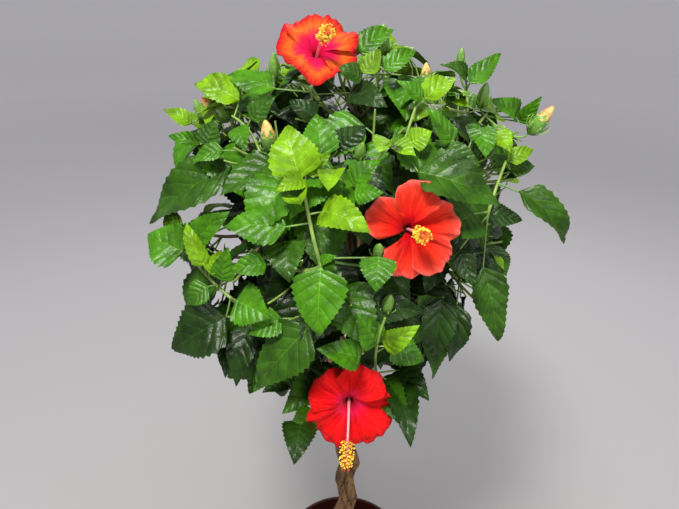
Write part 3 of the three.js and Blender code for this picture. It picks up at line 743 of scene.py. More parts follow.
def sideTwigs(mass, shoot, random):
    twigs = []
    firstTurn = between(random, 0, 2 * math.pi)
    for number, share in enumerate(sideTwigShape["places"]):
        start = shoot.along(share)
        opening = math.radians(sideTwigShape["opening"] * between(random, 0.8, 1.15))
        direction = tilted(shoot.tangent(share), opening, firstTurn + number * goldenTurn)
        direction = direction + mass["outward"] * sideTwigShape["toOut"] + up * sideTwigShape["toUp"]
        direction.normalize()
        length = sideTwigShape["length"] * between(random, 0.75, 1.15)
        furthest = sideTwigShape["furthest"] * mass["reach"]
        while length > 0.02 and crownShare(start + direction * length) > furthest:
            length -= 0.005
        bend = start + direction * length * 0.5 - up * sideTwigShape["sag"]
        twig = Arc(start, bend, start + direction * length)
        isLong = length > sideTwigShape["shortest"]
        if isLong and isClear(twig, mass) and isSeenInside(twig.point(1), sideTwigShape["edgeSlack"]):
            twigs.append(twig)
    return twigs


# ---- leaves: where they stand ----

leafShape = {
    "length": 0.094,
    "width": 0.7,
    "stalk": 0.026,
    "opening": (74, 34),  # degrees of the oldest leaf from its shoot, and how much less for the youngest
    "droop": (1.35, 0.75),  # the same for how much a leaf hangs
    "shrink": (0.55, 0.5),  # by what share the youngest leaf and its stalk are shorter
    "lengths": (0.88, 1.10),  # this and the next four: between what each leaf varies
    "stalks": (0.8, 1.3),
    "droops": (0.85, 1.15),
    "rolls": (-0.2, 0.2),
    "widths": (0.92, 1.08),
    "perShoot": 9,
    "perSideTwig": 7,
    "sideTwigScale": 0.80,
    "innerShares": (0.06, 0.62),  # stretch of a shoot that its older leaves stand on
    "inner": 8,
    "gap": 0.0085,  # between two blades
    "closeGap": 0.0062,  # between the leaves of side twigs
    "limbGap": 0.008,
    "shootGap": 0.004,
    "viewGap": 0.011,  # off the room before the leaves of the front
    "stalkRadii": (0.0012, 0.0009),
    "stalkSteps": 4,
    "bloomClear": 0.058,  # radius of the room before a bloom
    "bloomDepth": (-0.012, 0.17),
}
# Shoots and leaves that stand in places of their own, told by where the camera sees them: pixels of its
# frame, and how far out in the crown they lie, from its middle to its outline.
frontShoots = [
    {"from": (321, 266), "by": (312, 232), "to": (303, 186), "out": (0.93, 0.97), "radii": (0.0024, 0.0017)},
    {"from": (238, 304), "by": (196, 262), "to": (186, 228), "out": (0.90, 0.97), "radii": (0.0021, 0.0014)},
    {"from": (377, 376), "by": (376, 352), "to": (385, 318), "out": (0.90, 0.98), "radii": (0.0020, 0.0013)},
    {"from": (486, 222), "by": (494, 194), "to": (508, 156), "out": (0.86, 0.95), "radii": (0.0022, 0.0014)},
    {"from": (467, 112), "by": (467, 96), "to": (466, 78), "out": (0.88, 0.97), "radii": (0.0018, 0.0013)},
    {"from": (401, 152), "by": (408, 130), "to": (416, 106), "out": (0.86, 0.93), "radii": (0.0020, 0.0015)},
    {"from": (262, 158), "by": (250, 132), "to": (232, 116), "out": (0.84, 0.93), "radii": (0.0018, 0.0014)},
    {"from": (214, 168), "by": (208, 150), "to": (200, 130), "out": (0.88, 0.96), "radii": (0.0017, 0.0013)},
]
# A leaf's tone stands for its age and also for painted light and shade where it lies in the crown.
frontLeaves = [  # base, tip, width as a share of the length, tone, and how far out base and tip lie
    ((232, 166), (149, 224), 0.42, "grown", (0.86, 1.00)),
    ((275, 160), (219, 197), 0.58, "grown", (0.86, 0.97)),
    ((300, 180), (287, 126), 0.78, "young", (0.98, 1.01)),
    ((302, 176), (267, 160), 0.62, "young", (0.98, 1.03)),
    ((304, 180), (275, 192), 0.55, "young", (0.98, 1.04)),
    ((305, 173), (331, 154), 0.60, "young", (0.98, 1.00)),
    ((322, 158), (316, 113), 0.75, "fresh", (0.86, 0.92)),
    ((287, 227), (224, 226), 0.62, "fresh", (0.95, 1.00)),
    ((184, 252), (148, 236), 0.95, "fresh", (0.98, 1.00)),
    ((194, 243), (230, 211), 0.50, "fresh", (0.95, 0.97)),
    ((205, 266), (186, 222), 0.36, "young", (0.97, 1.00)),
    ((208, 272), (222, 250), 0.50, "young", (0.96, 1.00)),
    ((224, 150), (191, 162), 0.50, "fresh", (0.93, 0.98)),
    ((206, 146), (216, 119), 0.85, "grown", (0.95, 0.98)),
    ((200, 145), (169, 137), 0.36, "fresh", (0.95, 1.00)),
    ((192, 124), (163, 109), 0.50, "young", (0.97, 1.01)),
    ((240, 101), (194, 84), 0.46, "young", (0.95, 1.00)),
    ((276, 89), (223, 76), 0.50, "fresh", (0.94, 0.99)),
    ((237, 127), (247, 151), 0.70, "fresh", (0.93, 0.98)),
    ((250, 119), (276, 96), 0.60, "grown", (0.92, 0.95)),
    ((316, 119), (289, 101), 0.60, "old", (0.86, 0.92)),
    ((357, 52), (394, 29), 0.48, "fresh", (0.96, 1.01)),
    ((362, 79), (333, 70), 0.60, "grown", (0.94, 0.98)),
    ((363, 74), (381, 50), 0.60, "young", (0.96, 1.00)),
    ((384, 71), (417, 50), 0.44, "fresh", (0.97, 1.01)),
    ((413, 76), (399, 110), 0.62, "fresh", (0.93, 0.98)),
    ((424, 100), (456, 78), 0.55, "young", (0.95, 1.00)),
    ((422, 100), (396, 80), 0.50, "fresh", (0.95, 0.99)),
    ((466, 80), (440, 64), 0.42, "grown", (0.98, 1.01)),
    ((469, 84), (501, 54), 0.42, "fresh", (0.98, 1.01)),
    ((410, 144), (432, 131), 0.95, "young", (0.93, 0.98)),
    ((453, 143), (424, 106), 0.48, "fresh", (0.93, 0.98)),
    ((417, 172), (500, 207), 0.52, "grown", (0.93, 1.01)),
    ((442, 150), (481, 166), 0.55, "grown", (0.90, 0.96)),
    ((478, 129), (486, 158), 0.75, "fresh", (0.97, 1.02)),
    ((496, 131), (512, 153), 0.62, "young", (0.97, 1.02)),
    ((507, 161), (534, 149), 0.52, "young", (0.95, 0.98)),
    ((520, 123), (542, 96), 0.46, "fresh", (0.96, 1.00)),
    ((516, 118), (490, 100), 0.60, "fresh", (0.95, 0.98)),
    ((509, 170), (535, 166), 0.62, "grown", (0.92, 0.96)),
    ((519, 191), (564, 244), 0.36, "grown", (0.97, 1.02)),
    ((485, 213), (522, 221), 0.55, "old", (0.86, 0.94)),
    ((473, 213), (440, 240), 0.98, "grown", (0.88, 0.96)),
    ((458, 249), (474, 287), 0.60, "old", (0.84, 0.92)),
    ((352, 184), (381, 160), 0.62, "fresh", (0.93, 0.97)),
    ((354, 196), (384, 192), 0.68, "fresh", (0.97, 1.00)),
    ((322, 211), (371, 233), 0.58, "young", (0.98, 1.04)),
    ((337, 150), (366, 126), 0.80, "old", (0.84, 0.90)),
    ((350, 92), (388, 107), 0.60, "old", (0.88, 0.93)),
    ((321, 267), (318, 337), 0.74, "fresh", (0.98, 1.03)),
    ((321, 262), (337, 256), 0.55, "fresh", (0.98, 1.00)),
    ((285, 240), (290, 283), 0.80, "grown", (0.88, 0.96)),
    ((267, 264), (230, 270), 0.55, "fresh", (0.92, 0.98)),
    ((222, 281), (228, 247), 0.58, "fresh", (0.93, 0.96)),
    ((208, 286), (188, 305), 0.78, "fresh", (0.97, 1.00)),
    ((236, 300), (272, 318), 0.86, "fresh", (0.96, 1.00)),
    ((227, 317), (174, 350), 0.72, "old", (0.93, 0.99)),
    ((248, 326), (236, 387), 0.48, "old", (0.88, 0.95)),
    ((236, 325), (225, 378), 0.44, "old", (0.86, 0.93)),
    ((310, 326), (256, 387), 0.56, "grown", (0.94, 1.01)),
    ((361, 357), (316, 349), 0.58, "fresh", (0.96, 1.00)),
    ((288, 378), (262, 393), 0.60, "old", (0.84, 0.90)),
    ((315, 380), (282, 414), 0.58, "grown", (0.88, 0.95)),
    ((313, 410), (289, 437), 0.55, "grown", (0.88, 0.95)),
    ((301, 423), (294, 465), 0.66, "old", (0.86, 0.93)),
    ((378, 345), (356, 313), 0.64, "fresh", (0.96, 0.98)),
    ((384, 347), (420, 325), 0.50, "young", (0.96, 1.00)),
    ((390, 344), (424, 362), 0.72, "fresh", (0.92, 0.98)),
    ((399, 369), (429, 401), 0.60, "old", (0.84, 0.90)),
    ((380, 379), (412, 433), 0.44, "grown", (0.88, 0.95)),
    ((397, 386), (411, 448), 0.42, "old", (0.84, 0.91)),
    ((349, 301), (425, 312), 0.50, "old", (0.88, 0.94)),
    ((379, 256), (376, 292), 0.92, "fresh", (0.97, 1.02)),
    ((483, 266), (497, 341), 0.37, "grown", (0.86, 0.93)),
    ((457, 304), (449, 361), 0.36, "old", (0.80, 0.86)),
    ((441, 298), (432, 358), 0.46, "old", (0.80, 0.86)),
]
frontShape = {
    "forms": (0, 2, 1, 0, 3, 2),  # the leaf forms that these leaves take in turn
    "light": (0.40, 0.35, 0.75),  # how much they turn up, out from the crown and to the viewer
    "roomSteps": range(2, 6),  # the room kept free before such a leaf, in steps towards the viewer
    "roomStep": 0.01,
    "carrierSteps": 8,
    "shootSteps": 12,
}
crownOutline = [  # rows of the camera's frame, each with the crown's left and right edge
    (26, 355, 396),
    (44, 345, 415),
    (56, 262, 421),
    (66, 248, 430),
    (78, 226, 442),
    (90, 206, 463),
    (100, 195, 498),
    (112, 190, 520),
    (138, 194, 528),
    (158, 199, 528),
    (172, 187, 526),
    (190, 168, 511),
    (206, 161, 515),
    (222, 172, 513),
    (236, 165, 506),
    (252, 165, 501),
    (264, 190, 505),
    (290, 197, 508),
    (320, 188, 502),
    (336, 180, 486),
    (346, 182, 467),
    (358, 208, 453),
    (372, 224, 436),
    (388, 230, 431),
    (402, 286, 427),
    (420, 284, 418),
    (446, 283, 408),
    (464, 294, 384),
]
crownGapMargin = 4  # pixels more that leaves keep off a gap
crownGaps = [  # places of that frame where the crown is open from front to back, and their radius
    (226, 133, 6),
    (252, 150, 5),
    (211, 198, 10),
    (191, 213, 7),
    (228, 201, 5),
    (220, 240, 9),
    (240, 244, 6),
    (246, 276, 5),
    (228, 287, 6),
    (333, 79, 5),
    (318, 90, 7),
    (341, 111, 7),
    (338, 162, 6),
    (371, 88, 6),
    (389, 90, 4),
    (439, 139, 5),
    (488, 177, 7),
    (503, 200, 7),
    (399, 187, 5),
    (441, 195, 5),
    (444, 272, 6),
    (455, 288, 8),
    (475, 305, 8),
    (473, 325, 7),
]

viewer = Vector(cameraSetup["place"])
viewRight, viewTop, viewAhead = cameraAxes()
viewWidth, viewHeight = cameraSetup["frame"]
viewFocal = cameraSetup["lens"] / cameraSetup["sensor"] * viewWidth  # in pixels


def viewRay(pixel):
    aside = (pixel[0] - viewWidth / 2) / viewFocal
    above = (viewHeight / 2 - pixel[1]) / viewFocal
    return (viewAhead + viewRight * aside + viewTop * above).normalized()


def seenAt(pixel, share):  # the point of the crown at that share of its outline which the camera sees there
    ray = viewRay(pixel)
    best = None
    for step in range(280):
        point = viewer + ray * (0.28 + 0.0025 * step)
        away = crownShare(point)
        if away <= share:
            return point
        if best is None or away < best[0]:
            best = (away, point)
    return best[1]


def tipSeenAt(base, pixel, share):  # a blade's tip lies about as far from the camera as its base
    level = (base - viewer).length
    ray = viewRay(pixel)
    reach = 0.6 * (viewer + ray * level - base).length
    away = (seenAt(pixel, share) - viewer).length
    return viewer + ray * min(level + reach, max(level - reach, away))


def isSeenInside(point, slack=0):  # whether it shows within the crown's outline, and beside its gaps
    way = point - viewer
    across = viewWidth / 2 + viewFocal * way.dot(viewRight) / way.dot(viewAhead)
    down = viewHeight / 2 - viewFocal * way.dot(viewTop) / way.dot(viewAhead)
    for low, high in zip(crownOutline, crownOutline[1:]):
        if low[0] < down <= high[0]:
            share = (down - low[0]) / (high[0] - low[0])
            left = low[1] + (high[1] - low[1]) * share
            edge = low[2] + (high[2] - low[2]) * share
            if left - slack <= across <= edge + slack:
                clear = crownGapMargin - slack
                return all(math.hypot(across - x, down - y) > radius + clear for x, y, radius in crownGaps)
    return False


def leafAt(root, outward, base, direction, length, width, roll, mass, light=None):
    light = light or up * 0.6 + mass["outward"] * 0.8
    level = (light - direction * light.dot(direction)).normalized()
    normal = level * math.cos(roll) + direction.cross(level) * math.sin(roll)
    return {
        "root": root,
        "outward": outward,
        "base": base,
        "tip": base + direction * length,
        "along": direction,
        "normal": normal,
        "across": direction.cross(normal),
        "length": length,
        "width": width,
        "mass": mass,
    }


def leavesOn(arc, mass, random, count, scale=1.0):
    # leaves stand round a shoot by the golden turn, each on its stalk; the older are larger, and hang more
    leaves = []
    widest, closing = leafShape["opening"]
    hanging, rising = leafShape["droop"]
    shorter, closer = leafShape["shrink"]
    firstTurn = between(random, 0, 2 * math.pi)
    for number in range(count):
        youth = number / (count - 1)
        share = 0.2 + 0.78 * youth**0.85
        opening = math.radians(widest - closing * youth)
        outward = tilted(arc.tangent(share), opening, firstTurn + number * goldenTurn)
        outward = (outward + mass["outward"] * 0.3 + up * 0.2).normalized()
        length = leafShape["length"] * scale * (1 - shorter * youth**1.6)
        length *= between(random, *leafShape["lengths"])
        stalk = leafShape["stalk"] * scale * (1 - closer * youth) * between(random, *leafShape["stalks"])
        droop = (hanging - rising * youth) * between(random, *leafShape["droops"])
        droop *= 1 - mass["ring"]["lift"]
        direction = (outward - up * droop).normalized()
        roll = between(random, *leafShape["rolls"])
        width = leafShape["width"] * between(random, *leafShape["widths"])
        root = arc.along(share)
        base = root + outward * stalk
        made = leafAt(root, outward, base, direction, length, width, roll, mass)
        made["youth"] = youth
        leaves.append(made)
    return leaves


def innerLeaves(arc, mass):  # the older leaves low on a shoot, in the shade of the others
    leaves = []
    random = mass["finer"]
    low, high = leafShape["innerShares"]
    firstTurn = between(random, 0, 2 * math.pi)
    for number in range(leafShape["inner"]):
        share = low + (high - low) * number / (leafShape["inner"] - 1)
        outward = tilted(arc.tangent(share), math.radians(70), firstTurn + number * goldenTurn)
        outward = (outward + mass["outward"] * 0.15).normalized()
        direction = (outward - up * between(random, 0.6, 1.3)).normalized()
        root = arc.along(share)
        base = root + outward * leafShape["stalk"] * between(random, 0.6, 1.2)
        length = leafShape["length"] * between(random, 0.7, 0.95)
        roll = between(random, -0.3, 0.3)
        made = leafAt(root, outward, base, direction, length, leafShape["width"], roll, mass)
        made["youth"] = 0.0
        leaves.append(made)
    return leaves


def hidesBloom(leaf):  # from straight before it, or from where the camera stands
    low, high = leafShape["bloomDepth"]
    for bloom in bloomPlaces:
        throat = Vector(bloom["throat"])
        facing = heading(bloom["azimuth"], bloom["elevation"])
        for way in (facing, (viewer - throat).normalized()):
            for place in bladePlaces(leaf):
                away = place - throat
                ahead = away.dot(way)
                aside = math.sqrt(max(0, away.length_squared - ahead * ahead))
                if low < ahead < high and aside < leafShape["bloomClear"]:
                    return True
    return False


def bladePlaces(leaf):
    middle = [leaf["base"].lerp(leaf["tip"], share) for share in (0.15, 0.35, 0.55, 0.75, 0.97)]
    reach = leaf["across"] * leaf["width"] * leaf["length"] * 0.28
    return middle + [middle[1] + reach, middle[1] - reach, middle[2] + reach, middle[2] - reach]


bladeRoom = Room(roomCell)
viewRoom = Room(roomCell)
shootRoom = Room(roomCell)
boxLow, boxHigh = frameBox
boxSlack = 0.006


def isInBox(point):
    return all(boxLow[i] - boxSlack < point[i] < boxHigh[i] + boxSlack for i in range(3))


def settle(leaf, gap):  # takes the leaf in if there is room for it
    places = bladePlaces(leaf)
    if not all(isInBox(place) for place in places):
        return False
    if not all(isWithin(place, leaf["mass"], crownShape["leafOverhang"]) for place in places[:5]):
        return False
    if not all(isSeenInside(place) for place in places):
        return False
    for place in places:
        if not limbRoom.isFree(place, leafShape["limbGap"]):
            return False
        if not shootRoom.isFree(place, leafShape["shootGap"]):
            return False
        if not (bladeRoom.isFree(place, gap) and viewRoom.isFree(place, leafShape["viewGap"])):
            return False
    bladeRoom.add(*places)
    return True


def nearestOn(mass, place):  # the point of a mass's shoots and stem that lies nearest to a place
    lines = [mass["stem"]] + mass["shoots"]
    points = [line.along(0.1 + 0.05 * step) for line in lines for step in range(18)]
    return min(points, key=lambda point: (point - place).length)


def nearestWood(place):
    best = None
    for mass in masses:
        if (mass["heart"] - place).length < 0.26:
            point = nearestOn(mass, place)
            if best is None or (point - place).length < (best[1] - place).length:
                best = (mass, point)
    return best


def growFront():  # the shoots and leaves that stand in places of their own
    for shape in frontShoots:
        low, high = shape["out"]
        start = seenAt(shape["from"], low)
        by = seenAt(shape["by"], (low + high) / 2)
        end = seenAt(shape["to"], high)
        mass, root = nearestWood(start)
        carrier = Arc(root, root.lerp(start, 0.6) - (by - start) * 0.3, start)
        shape["arcs"] = [carrier, Arc(start, by * 2 - (start + end) / 2, end)]
        mass["shoots"] = mass["shoots"] + [shape["arcs"][1]]
        for arc in shape["arcs"]:
            shootRoom.add(*arc.places(24))
    made = []
    middle = Vector((0, 0, crownShape["middle"]))
    forms = frontShape["forms"]
    toUp, toOut, toViewer = frontShape["light"]
    for number, (base, tip, width, tone, (low, high)) in enumerate(frontLeaves):
        base = seenAt(base, low)
        tip = tipSeenAt(base, tip, high)
        mass, root = nearestWood(base)
        run = tip - base
        light = up * toUp + (base - middle).normalized() * toOut + (viewer - base).normalized() * toViewer
        outward = (base - root).normalized()
        leaf = leafAt(root, outward, base, run.normalized(), run.length, width, 0, mass, light)
        leaf.update(youth=0.0, tone=tone, form=forms[number % len(forms)])
        for place in bladePlaces(leaf):
            bladeRoom.add(place)
            way = (viewer - place).normalized()
            viewRoom.add(*[place + way * frontShape["roomStep"] * step for step in frontShape["roomSteps"]])
        made.append(leaf)
    return made


def growCrown():
    leaves = []
    for mass in masses:
        mass["random"] = chance(mass["seed"])
        arcs = shootArcs(mass, mass["random"])
        mass["candidates"] = [leavesOn(arc, mass, mass["random"], leafShape["perShoot"]) for arc in arcs]
        mass["kept"] = [
            number
            for number, arc in enumerate(arcs)
            if isClear(arc, mass) and isSeenInside(arc.point(1), shootShape["edgeSlack"])
        ]
        mass["shoots"] = [arcs[number] for number in mass["kept"]]
        finer = chance(mass["seed"] + 50000)
        mass["twigs"] = [twig for arc in mass["shoots"] for twig in sideTwigs(mass, arc, finer)]
        mass["finer"] = finer
        for arc in mass["shoots"] + mass["twigs"] + [mass["stem"]]:
            shootRoom.add(*arc.places(24))
    leaves += growFront()
    for mass in masses:
        main = [leaf for number in mass["kept"] for leaf in mass["candidates"][number]]
        main.sort(key=lambda leaf: -leaf["youth"])
        for leaf in main:
            inward = (leaf["base"] - leaf["root"]).dot(mass["outward"]) < 0
            if not inward and not hidesBloom(leaf) and settle(leaf, leafShape["gap"]):
                leaves.append(leaf)
    for mass in masses:
        for twig in mass["twigs"]:
            fine = leavesOn(twig, mass, mass["finer"], leafShape["perSideTwig"], leafShape["sideTwigScale"])
            for leaf in fine:
                if not hidesBloom(leaf) and settle(leaf, leafShape["closeGap"]):
                    leaves.append(leaf)
    for mass in masses:
        for arc in mass["shoots"][: len(mass["kept"])] + [mass["stem"]]:
            for leaf in innerLeaves(arc, mass):
                if not hidesBloom(leaf) and settle(leaf, leafShape["closeGap"]):
                    leaves.append(leaf)
    return leaves


leaves = growCrown()
print("crown grown:", sum(len(mass["shoots"]) for mass in masses), "shoots,", len(leaves), "leaves")

# ---- the leaf's own form ----

leafForm = {
    "laterals": 5,  # side veins of each half
    "width": 0.70,
    "midrib": 0.0085,  # half width at the base, as a share of the length
    "vein": 0.0056,
    "tooth": 0.075,
    "quilt": 0.022,
    "thickness": 0.007,
}
leafBends = [  # fold along the midrib, bend over the length in degrees, wave of the margin, twist, seed
    {"fold": 0.26, "bend": 42, "wave": 0.026, "twist": 12, "seed": 1},
    {"fold": 0.40, "bend": 62, "wave": 0.034, "twist": -18, "seed": 2},
    {"fold": 0.10, "bend": 30, "wave": 0.042, "twist": 20, "seed": 3},
    {"fold": 0.32, "bend": 78, "wave": 0.032, "twist": -10, "seed": 4},
    {"fold": 0.50, "bend": 18, "wave": 0.034, "twist": 6, "seed": 5},
]


def leafFormMesh(name, bend):
    count = leafForm["laterals"]
    points, weights, faces, parts, places = [], [], [], [], []
    margin = set()

    def halfWidth(s):  # widest below the middle, and drawn out to the tip
        swell = max(0.0, math.sin(math.pi * min(1, s) ** 0.58)) ** 0.82
        return leafForm["width"] / 2 * swell * (1.04 - 0.30 * s**3)

    def add(side, row, c, lift=0.0, spread=1.0, isMargin=False):
        m = row**1.42 * 0.97
        s = row**0.72
        rib = leafForm["midrib"] * (1 - 0.75 * row) * (1 - c)
        x = side * (rib + c * halfWidth(s) * spread)
        points.append([x, m + (s - m) * c**1.2, lift])
        weights.append(c * side)
        places.append((c, row))
        if isMargin:
            margin.add(len(points) - 1)
        return len(points) - 1

    def face(part, *corners):
        faces.append(corners)
        parts.append(part)

    def fan(part, centre, *ring):  # triangles from a centre to a ring of corners
        corners = list(dict.fromkeys(ring))
        for first, second in zip(corners, corners[1:] + corners[:1]):
            face(part, first, second, centre)

    base = add(0, 0, 0)
    tip = add(0, 1, 1)
    points[tip] = [0, 1.0, 0]
    margin.update((base, tip))
    thick = leafForm["thickness"]
    rows = [n / (count + 1) for n in range(count + 2)]
    under = [base] + [add(0, rows[n], 0, -thick) for n in range(1, count + 1)] + [tip]
    ribs = {}
    for side in (1, -1):
        low, high, lowMid, highMid, underMid, ends = ([base] for _ in range(6))
        for n in range(1, count + 1):
            half = leafForm["vein"] * (1.15 - 0.6 * rows[n])
            low.append(add(side, rows[n] - half, 0, thick * 0.6))
            high.append(add(side, rows[n] + half, 0, thick * 0.6))
            lowMid.append(add(side, rows[n] - half * 0.6, 0.52, thick * 0.3))
            highMid.append(add(side, rows[n] + half * 0.6, 0.52, thick * 0.3))
            underMid.append(add(side, rows[n], 0.52, -thick * 0.7))
            ends.append(add(side, rows[n] + 0.012, 1, 0, 1 + leafForm["tooth"], True))
            face(2, low[n], high[n], highMid[n], lowMid[n])
            face(2, lowMid[n], highMid[n], ends[n])
        for group in (low, high, lowMid, highMid, underMid, ends):
            group.append(tip)
        ribs[side] = [base]
        for n in range(count + 1):
            row = (rows[n] + rows[n + 1]) / 2
            lift = leafForm["quilt"] * (1 - 0.45 * row)
            inner = add(side, row, 0, thick * 0.8)
            crown = add(side, row, 0.5, lift + thick * 0.8)
            hollow = add(side, row, 0.5, lift - thick * 0.8)
            tooth = add(side, row + 0.012, 1, 0, 1 + leafForm["tooth"] * 0.9, True)
            notchLow = add(side, rows[n] + 0.35 / (count + 1), 1, 0, 1 - leafForm["tooth"] * 0.5, True)
            notchHigh = add(side, rows[n] + 0.80 / (count + 1), 1, 0, 1 - leafForm["tooth"] * 0.5, True)
            edge = [ends[n + 1], notchHigh, tooth, notchLow, ends[n]]
            fan(0, crown, high[n], inner, low[n + 1], lowMid[n + 1], *edge, highMid[n])
            fan(1, hollow, under[n], under[n + 1], underMid[n + 1], *edge, underMid[n])
            ribs[side] += [inner] + ([low[n + 1], high[n + 1]] if n < count else [])
        ribs[side].append(tip)
    for n in range(len(ribs[1]) - 1):
        corners = [ribs[1][n], ribs[1][n + 1], ribs[-1][n + 1], ribs[-1][n]]
        face(2, *dict.fromkeys(corners))
    shaped = [bentLeafPoint(point, weight, bend) for point, weight in zip(points, weights)]
    reach = shaped[tip] - shaped[base]
    level = reach.rotation_difference(Vector((0, 1, 0))).to_matrix()
    shaped = [level @ (point - shaped[base]) / reach.length for point in shaped]
    mesh = outwards(meshOf(name, shaped, faces))
    givePlaces(mesh, "blade", places)
    markParts(mesh, parts)
    for edge in mesh.edges:
        edge.use_edge_sharp = edge.vertices[0] in margin and edge.vertices[1] in margin
    return mesh


def bentLeafPoint(point, weight, bend):
    x, y, z = point
    ripple = math.sin(9 * y + bend["seed"] * 2.1 + (1.3 if weight > 0 else 0))
    z += bend["fold"] * abs(x) * (1 - 0.45 * y) + bend["wave"] * weight * weight * ripple
    turn = math.radians(bend["bend"])
    angle = turn * y
    along = math.sin(angle) / turn
    drop = (1 - math.cos(angle)) / turn
    y, z = along + z * math.sin(angle), z * math.cos(angle) - drop
    twist = math.radians(bend["twist"]) * point[1]
    return Vector((x * math.cos(twist) + z * math.sin(twist) * 0.2, y, z - x * math.sin(twist)))


# The four tones stand for the leaf's age and also for painted light and shade. The lighter tones are painted
# light on leaves high and far out in the crown, and the darker tones are painted shade on leaves low and
# inside it.
leafAgeAndShadeTones = {  # plain colours of the blade, its underside and its veins
    "young": {"skin": (0.128, 0.275, 0.003), "back": (0.18, 0.31, 0.026), "ribs": (0.21, 0.36, 0.024)},
    "fresh": {"skin": (0.042, 0.152, 0.0025), "back": (0.085, 0.19, 0.014), "ribs": (0.088, 0.225, 0.012)},
    "grown": {"skin": (0.024, 0.078, 0.003), "back": (0.046, 0.115, 0.011), "ribs": (0.052, 0.138, 0.010)},
    "old": {"skin": (0.011, 0.035, 0.003), "back": (0.020, 0.055, 0.006), "ribs": (0.024, 0.064, 0.007)},
}
leafFinish = {
    "roughness": 0.36,
    "specular": 0.22,
    "coat": 0.02,
    "coatRoughness": 0.15,
    "laterals": 6,
    "relief": 0.95,
    "depth": 0.0017,
    "crumple": 102,
    "grain": 260,
    "mottle": 42,
    "shades": (0.50, 1.40),  # of the colour, in the mottle's dark and bright places
    "backRoughness": 0.55,
}
toneSteps = (("young", 0.60), ("fresh", 0.34), ("grown", 0.04))  # the least light for each; the rest are old


def leafMaterial(name, colour, isSkin):
    # the blade swells between its side veins, and is crumpled and grained on top of that
    material, shader = newMaterial(
        name,
        Roughness=leafFinish["roughness"] if isSkin else leafFinish["backRoughness"],
        Coat_Weight=leafFinish["coat"] if isSkin else 0.0,
        Coat_Roughness=leafFinish["coatRoughness"],
        Specular_IOR_Level=leafFinish["specular"],
    )
    darker, brighter = [tuple(min(1, value * shade) for value in colour) for shade in leafFinish["shades"]]
    _, mapping = mottle(material, shader, [(0.32, darker), (0.68, brighter)], leafFinish["mottle"])
    tree = material.node_tree
    place = addNode(tree, "ShaderNodeUVMap", uv_map="blade")
    split = addNode(tree, "ShaderNodeSeparateXYZ")
    turns = addNode(tree, "ShaderNodeMath", {1: math.pi * leafFinish["laterals"]}, operation="MULTIPLY")
    wave = addNode(tree, "ShaderNodeMath", operation="SINE")
    swell = addNode(tree, "ShaderNodeMath", operation="ABSOLUTE")
    rounder = addNode(tree, "ShaderNodeMath", {1: 0.45}, operation="MULTIPLY")
    crumple = addNode(tree, "ShaderNodeTexNoise", {"Scale": leafFinish["crumple"], "Detail": 3})
    fine = addNode(tree, "ShaderNodeTexNoise", {"Scale": leafFinish["grain"], "Detail": 2})
    relief = addNode(tree, "ShaderNodeMath", {1: 1.1}, operation="MULTIPLY_ADD")
    finer = addNode(tree, "ShaderNodeMath", {1: 0.22}, operation="MULTIPLY_ADD")
    chain(
        tree,
        (place, "UV", split, "Vector"),
        (split, "Y", turns, 0),
        (turns, "Value", wave, 0),
        (wave, "Value", swell, 0),
        (swell, "Value", rounder, 0),
        (mapping, "Vector", crumple, "Vector"),
        (mapping, "Vector", fine, "Vector"),
        (crumple, "Fac", relief, 0),
        (rounder, "Value", relief, 2),
        (fine, "Fac", finer, 0),
        (relief, "Value", finer, 2),
    )
    bump(material, shader, finer.outputs["Value"], leafFinish["relief"], leafFinish["depth"])
    return material


def leafAgeAndShadeTone(leaf, random):
    if "tone" in leaf:
        return leaf["tone"]
    # Painted light and shade: a leaf higher and further out in the crown gets a lighter tone, and one lower
    # and further in gets a darker tone. This comes on top of the lighter tone of young leaves.
    height = (leaf["base"].z - crownShape["middle"]) / crownShape["above"]
    light = 0.56 * leaf["youth"] + 0.26 * height + 1.1 * (crownShare(leaf["base"]) - 0.84)
    light += between(random, -0.12, 0.12)
    return next((tone for tone, least in toneSteps if light > least), "old")


def makeLeaves():
    meshes = [leafFormMesh(f"leafForm{number}", bend) for number, bend in enumerate(leafBends)]
    forms = formCollection("leafForm", meshes)
    random = chance(77)
    places = {tone: [] for tone in leafAgeAndShadeTones}
    for leaf in leaves:
        across = leaf["length"] * leaf["width"] / leafForm["width"]
        axes = axesMatrix(leaf["across"], leaf["along"], leaf["normal"])
        form = 4 if leaf["youth"] > 0.85 else int(between(random, 0, 3.999))
        form = leaf.get("form", form)
        size = (across, leaf["length"], leaf["length"])
        places[leafAgeAndShadeTone(leaf, random)].append((leaf["base"], axes, size, form))
    made = []
    for tone, colours in leafAgeAndShadeTones.items():
        materials = {
            "Skin": leafMaterial(f"leaf {tone}", colours["skin"], True),
            "Back": leafMaterial(f"leaf back {tone}", colours["back"], False),
            "Ribs": leafMaterial(f"leaf veins {tone}", colours["ribs"], True),
        }
        mesh = settingMesh(f"leaves_{tone}", places[tone])
        piece = grow(f"leaves_{tone}", mesh, settingTree, Forms=forms, **materials)
        print("leaves", tone, len(places[tone]), "faces", len(piece.data.polygons))
        made.append(piece)
    return made


# ---- twigs and leaf stalks ----

twigTones = {
    "twigWood": [(0.3, (0.16, 0.11, 0.065)), (0.7, (0.30, 0.23, 0.14))],
    "twigGreen": [(0.3, (0.12, 0.22, 0.035)), (0.7, (0.26, 0.38, 0.07))],
    "stalk": [(0.3, (0.10, 0.22, 0.04)), (0.7, (0.22, 0.36, 0.09))],
}


def twigMaterial(name):
    material, shader = newMaterial(name, Roughness=0.5)
    grain, _ = mottle(material, shader, twigTones[name], 90, stretch=(1, 1, 0.4))
    bump(material, shader, grain.outputs["Fac"], 0.5, 0.0006)
    return material


def stalkStrand(leaf):
    bend = leaf["root"] + leaf["outward"] * 0.6 * (leaf["base"] - leaf["root"]).length
    arc = Arc(leaf["root"], bend, leaf["base"] + leaf["along"] * 0.002 - leaf["normal"] * 0.0004)
    return arc.walk(leafShape["stalkSteps"], leafShape["stalkRadii"])


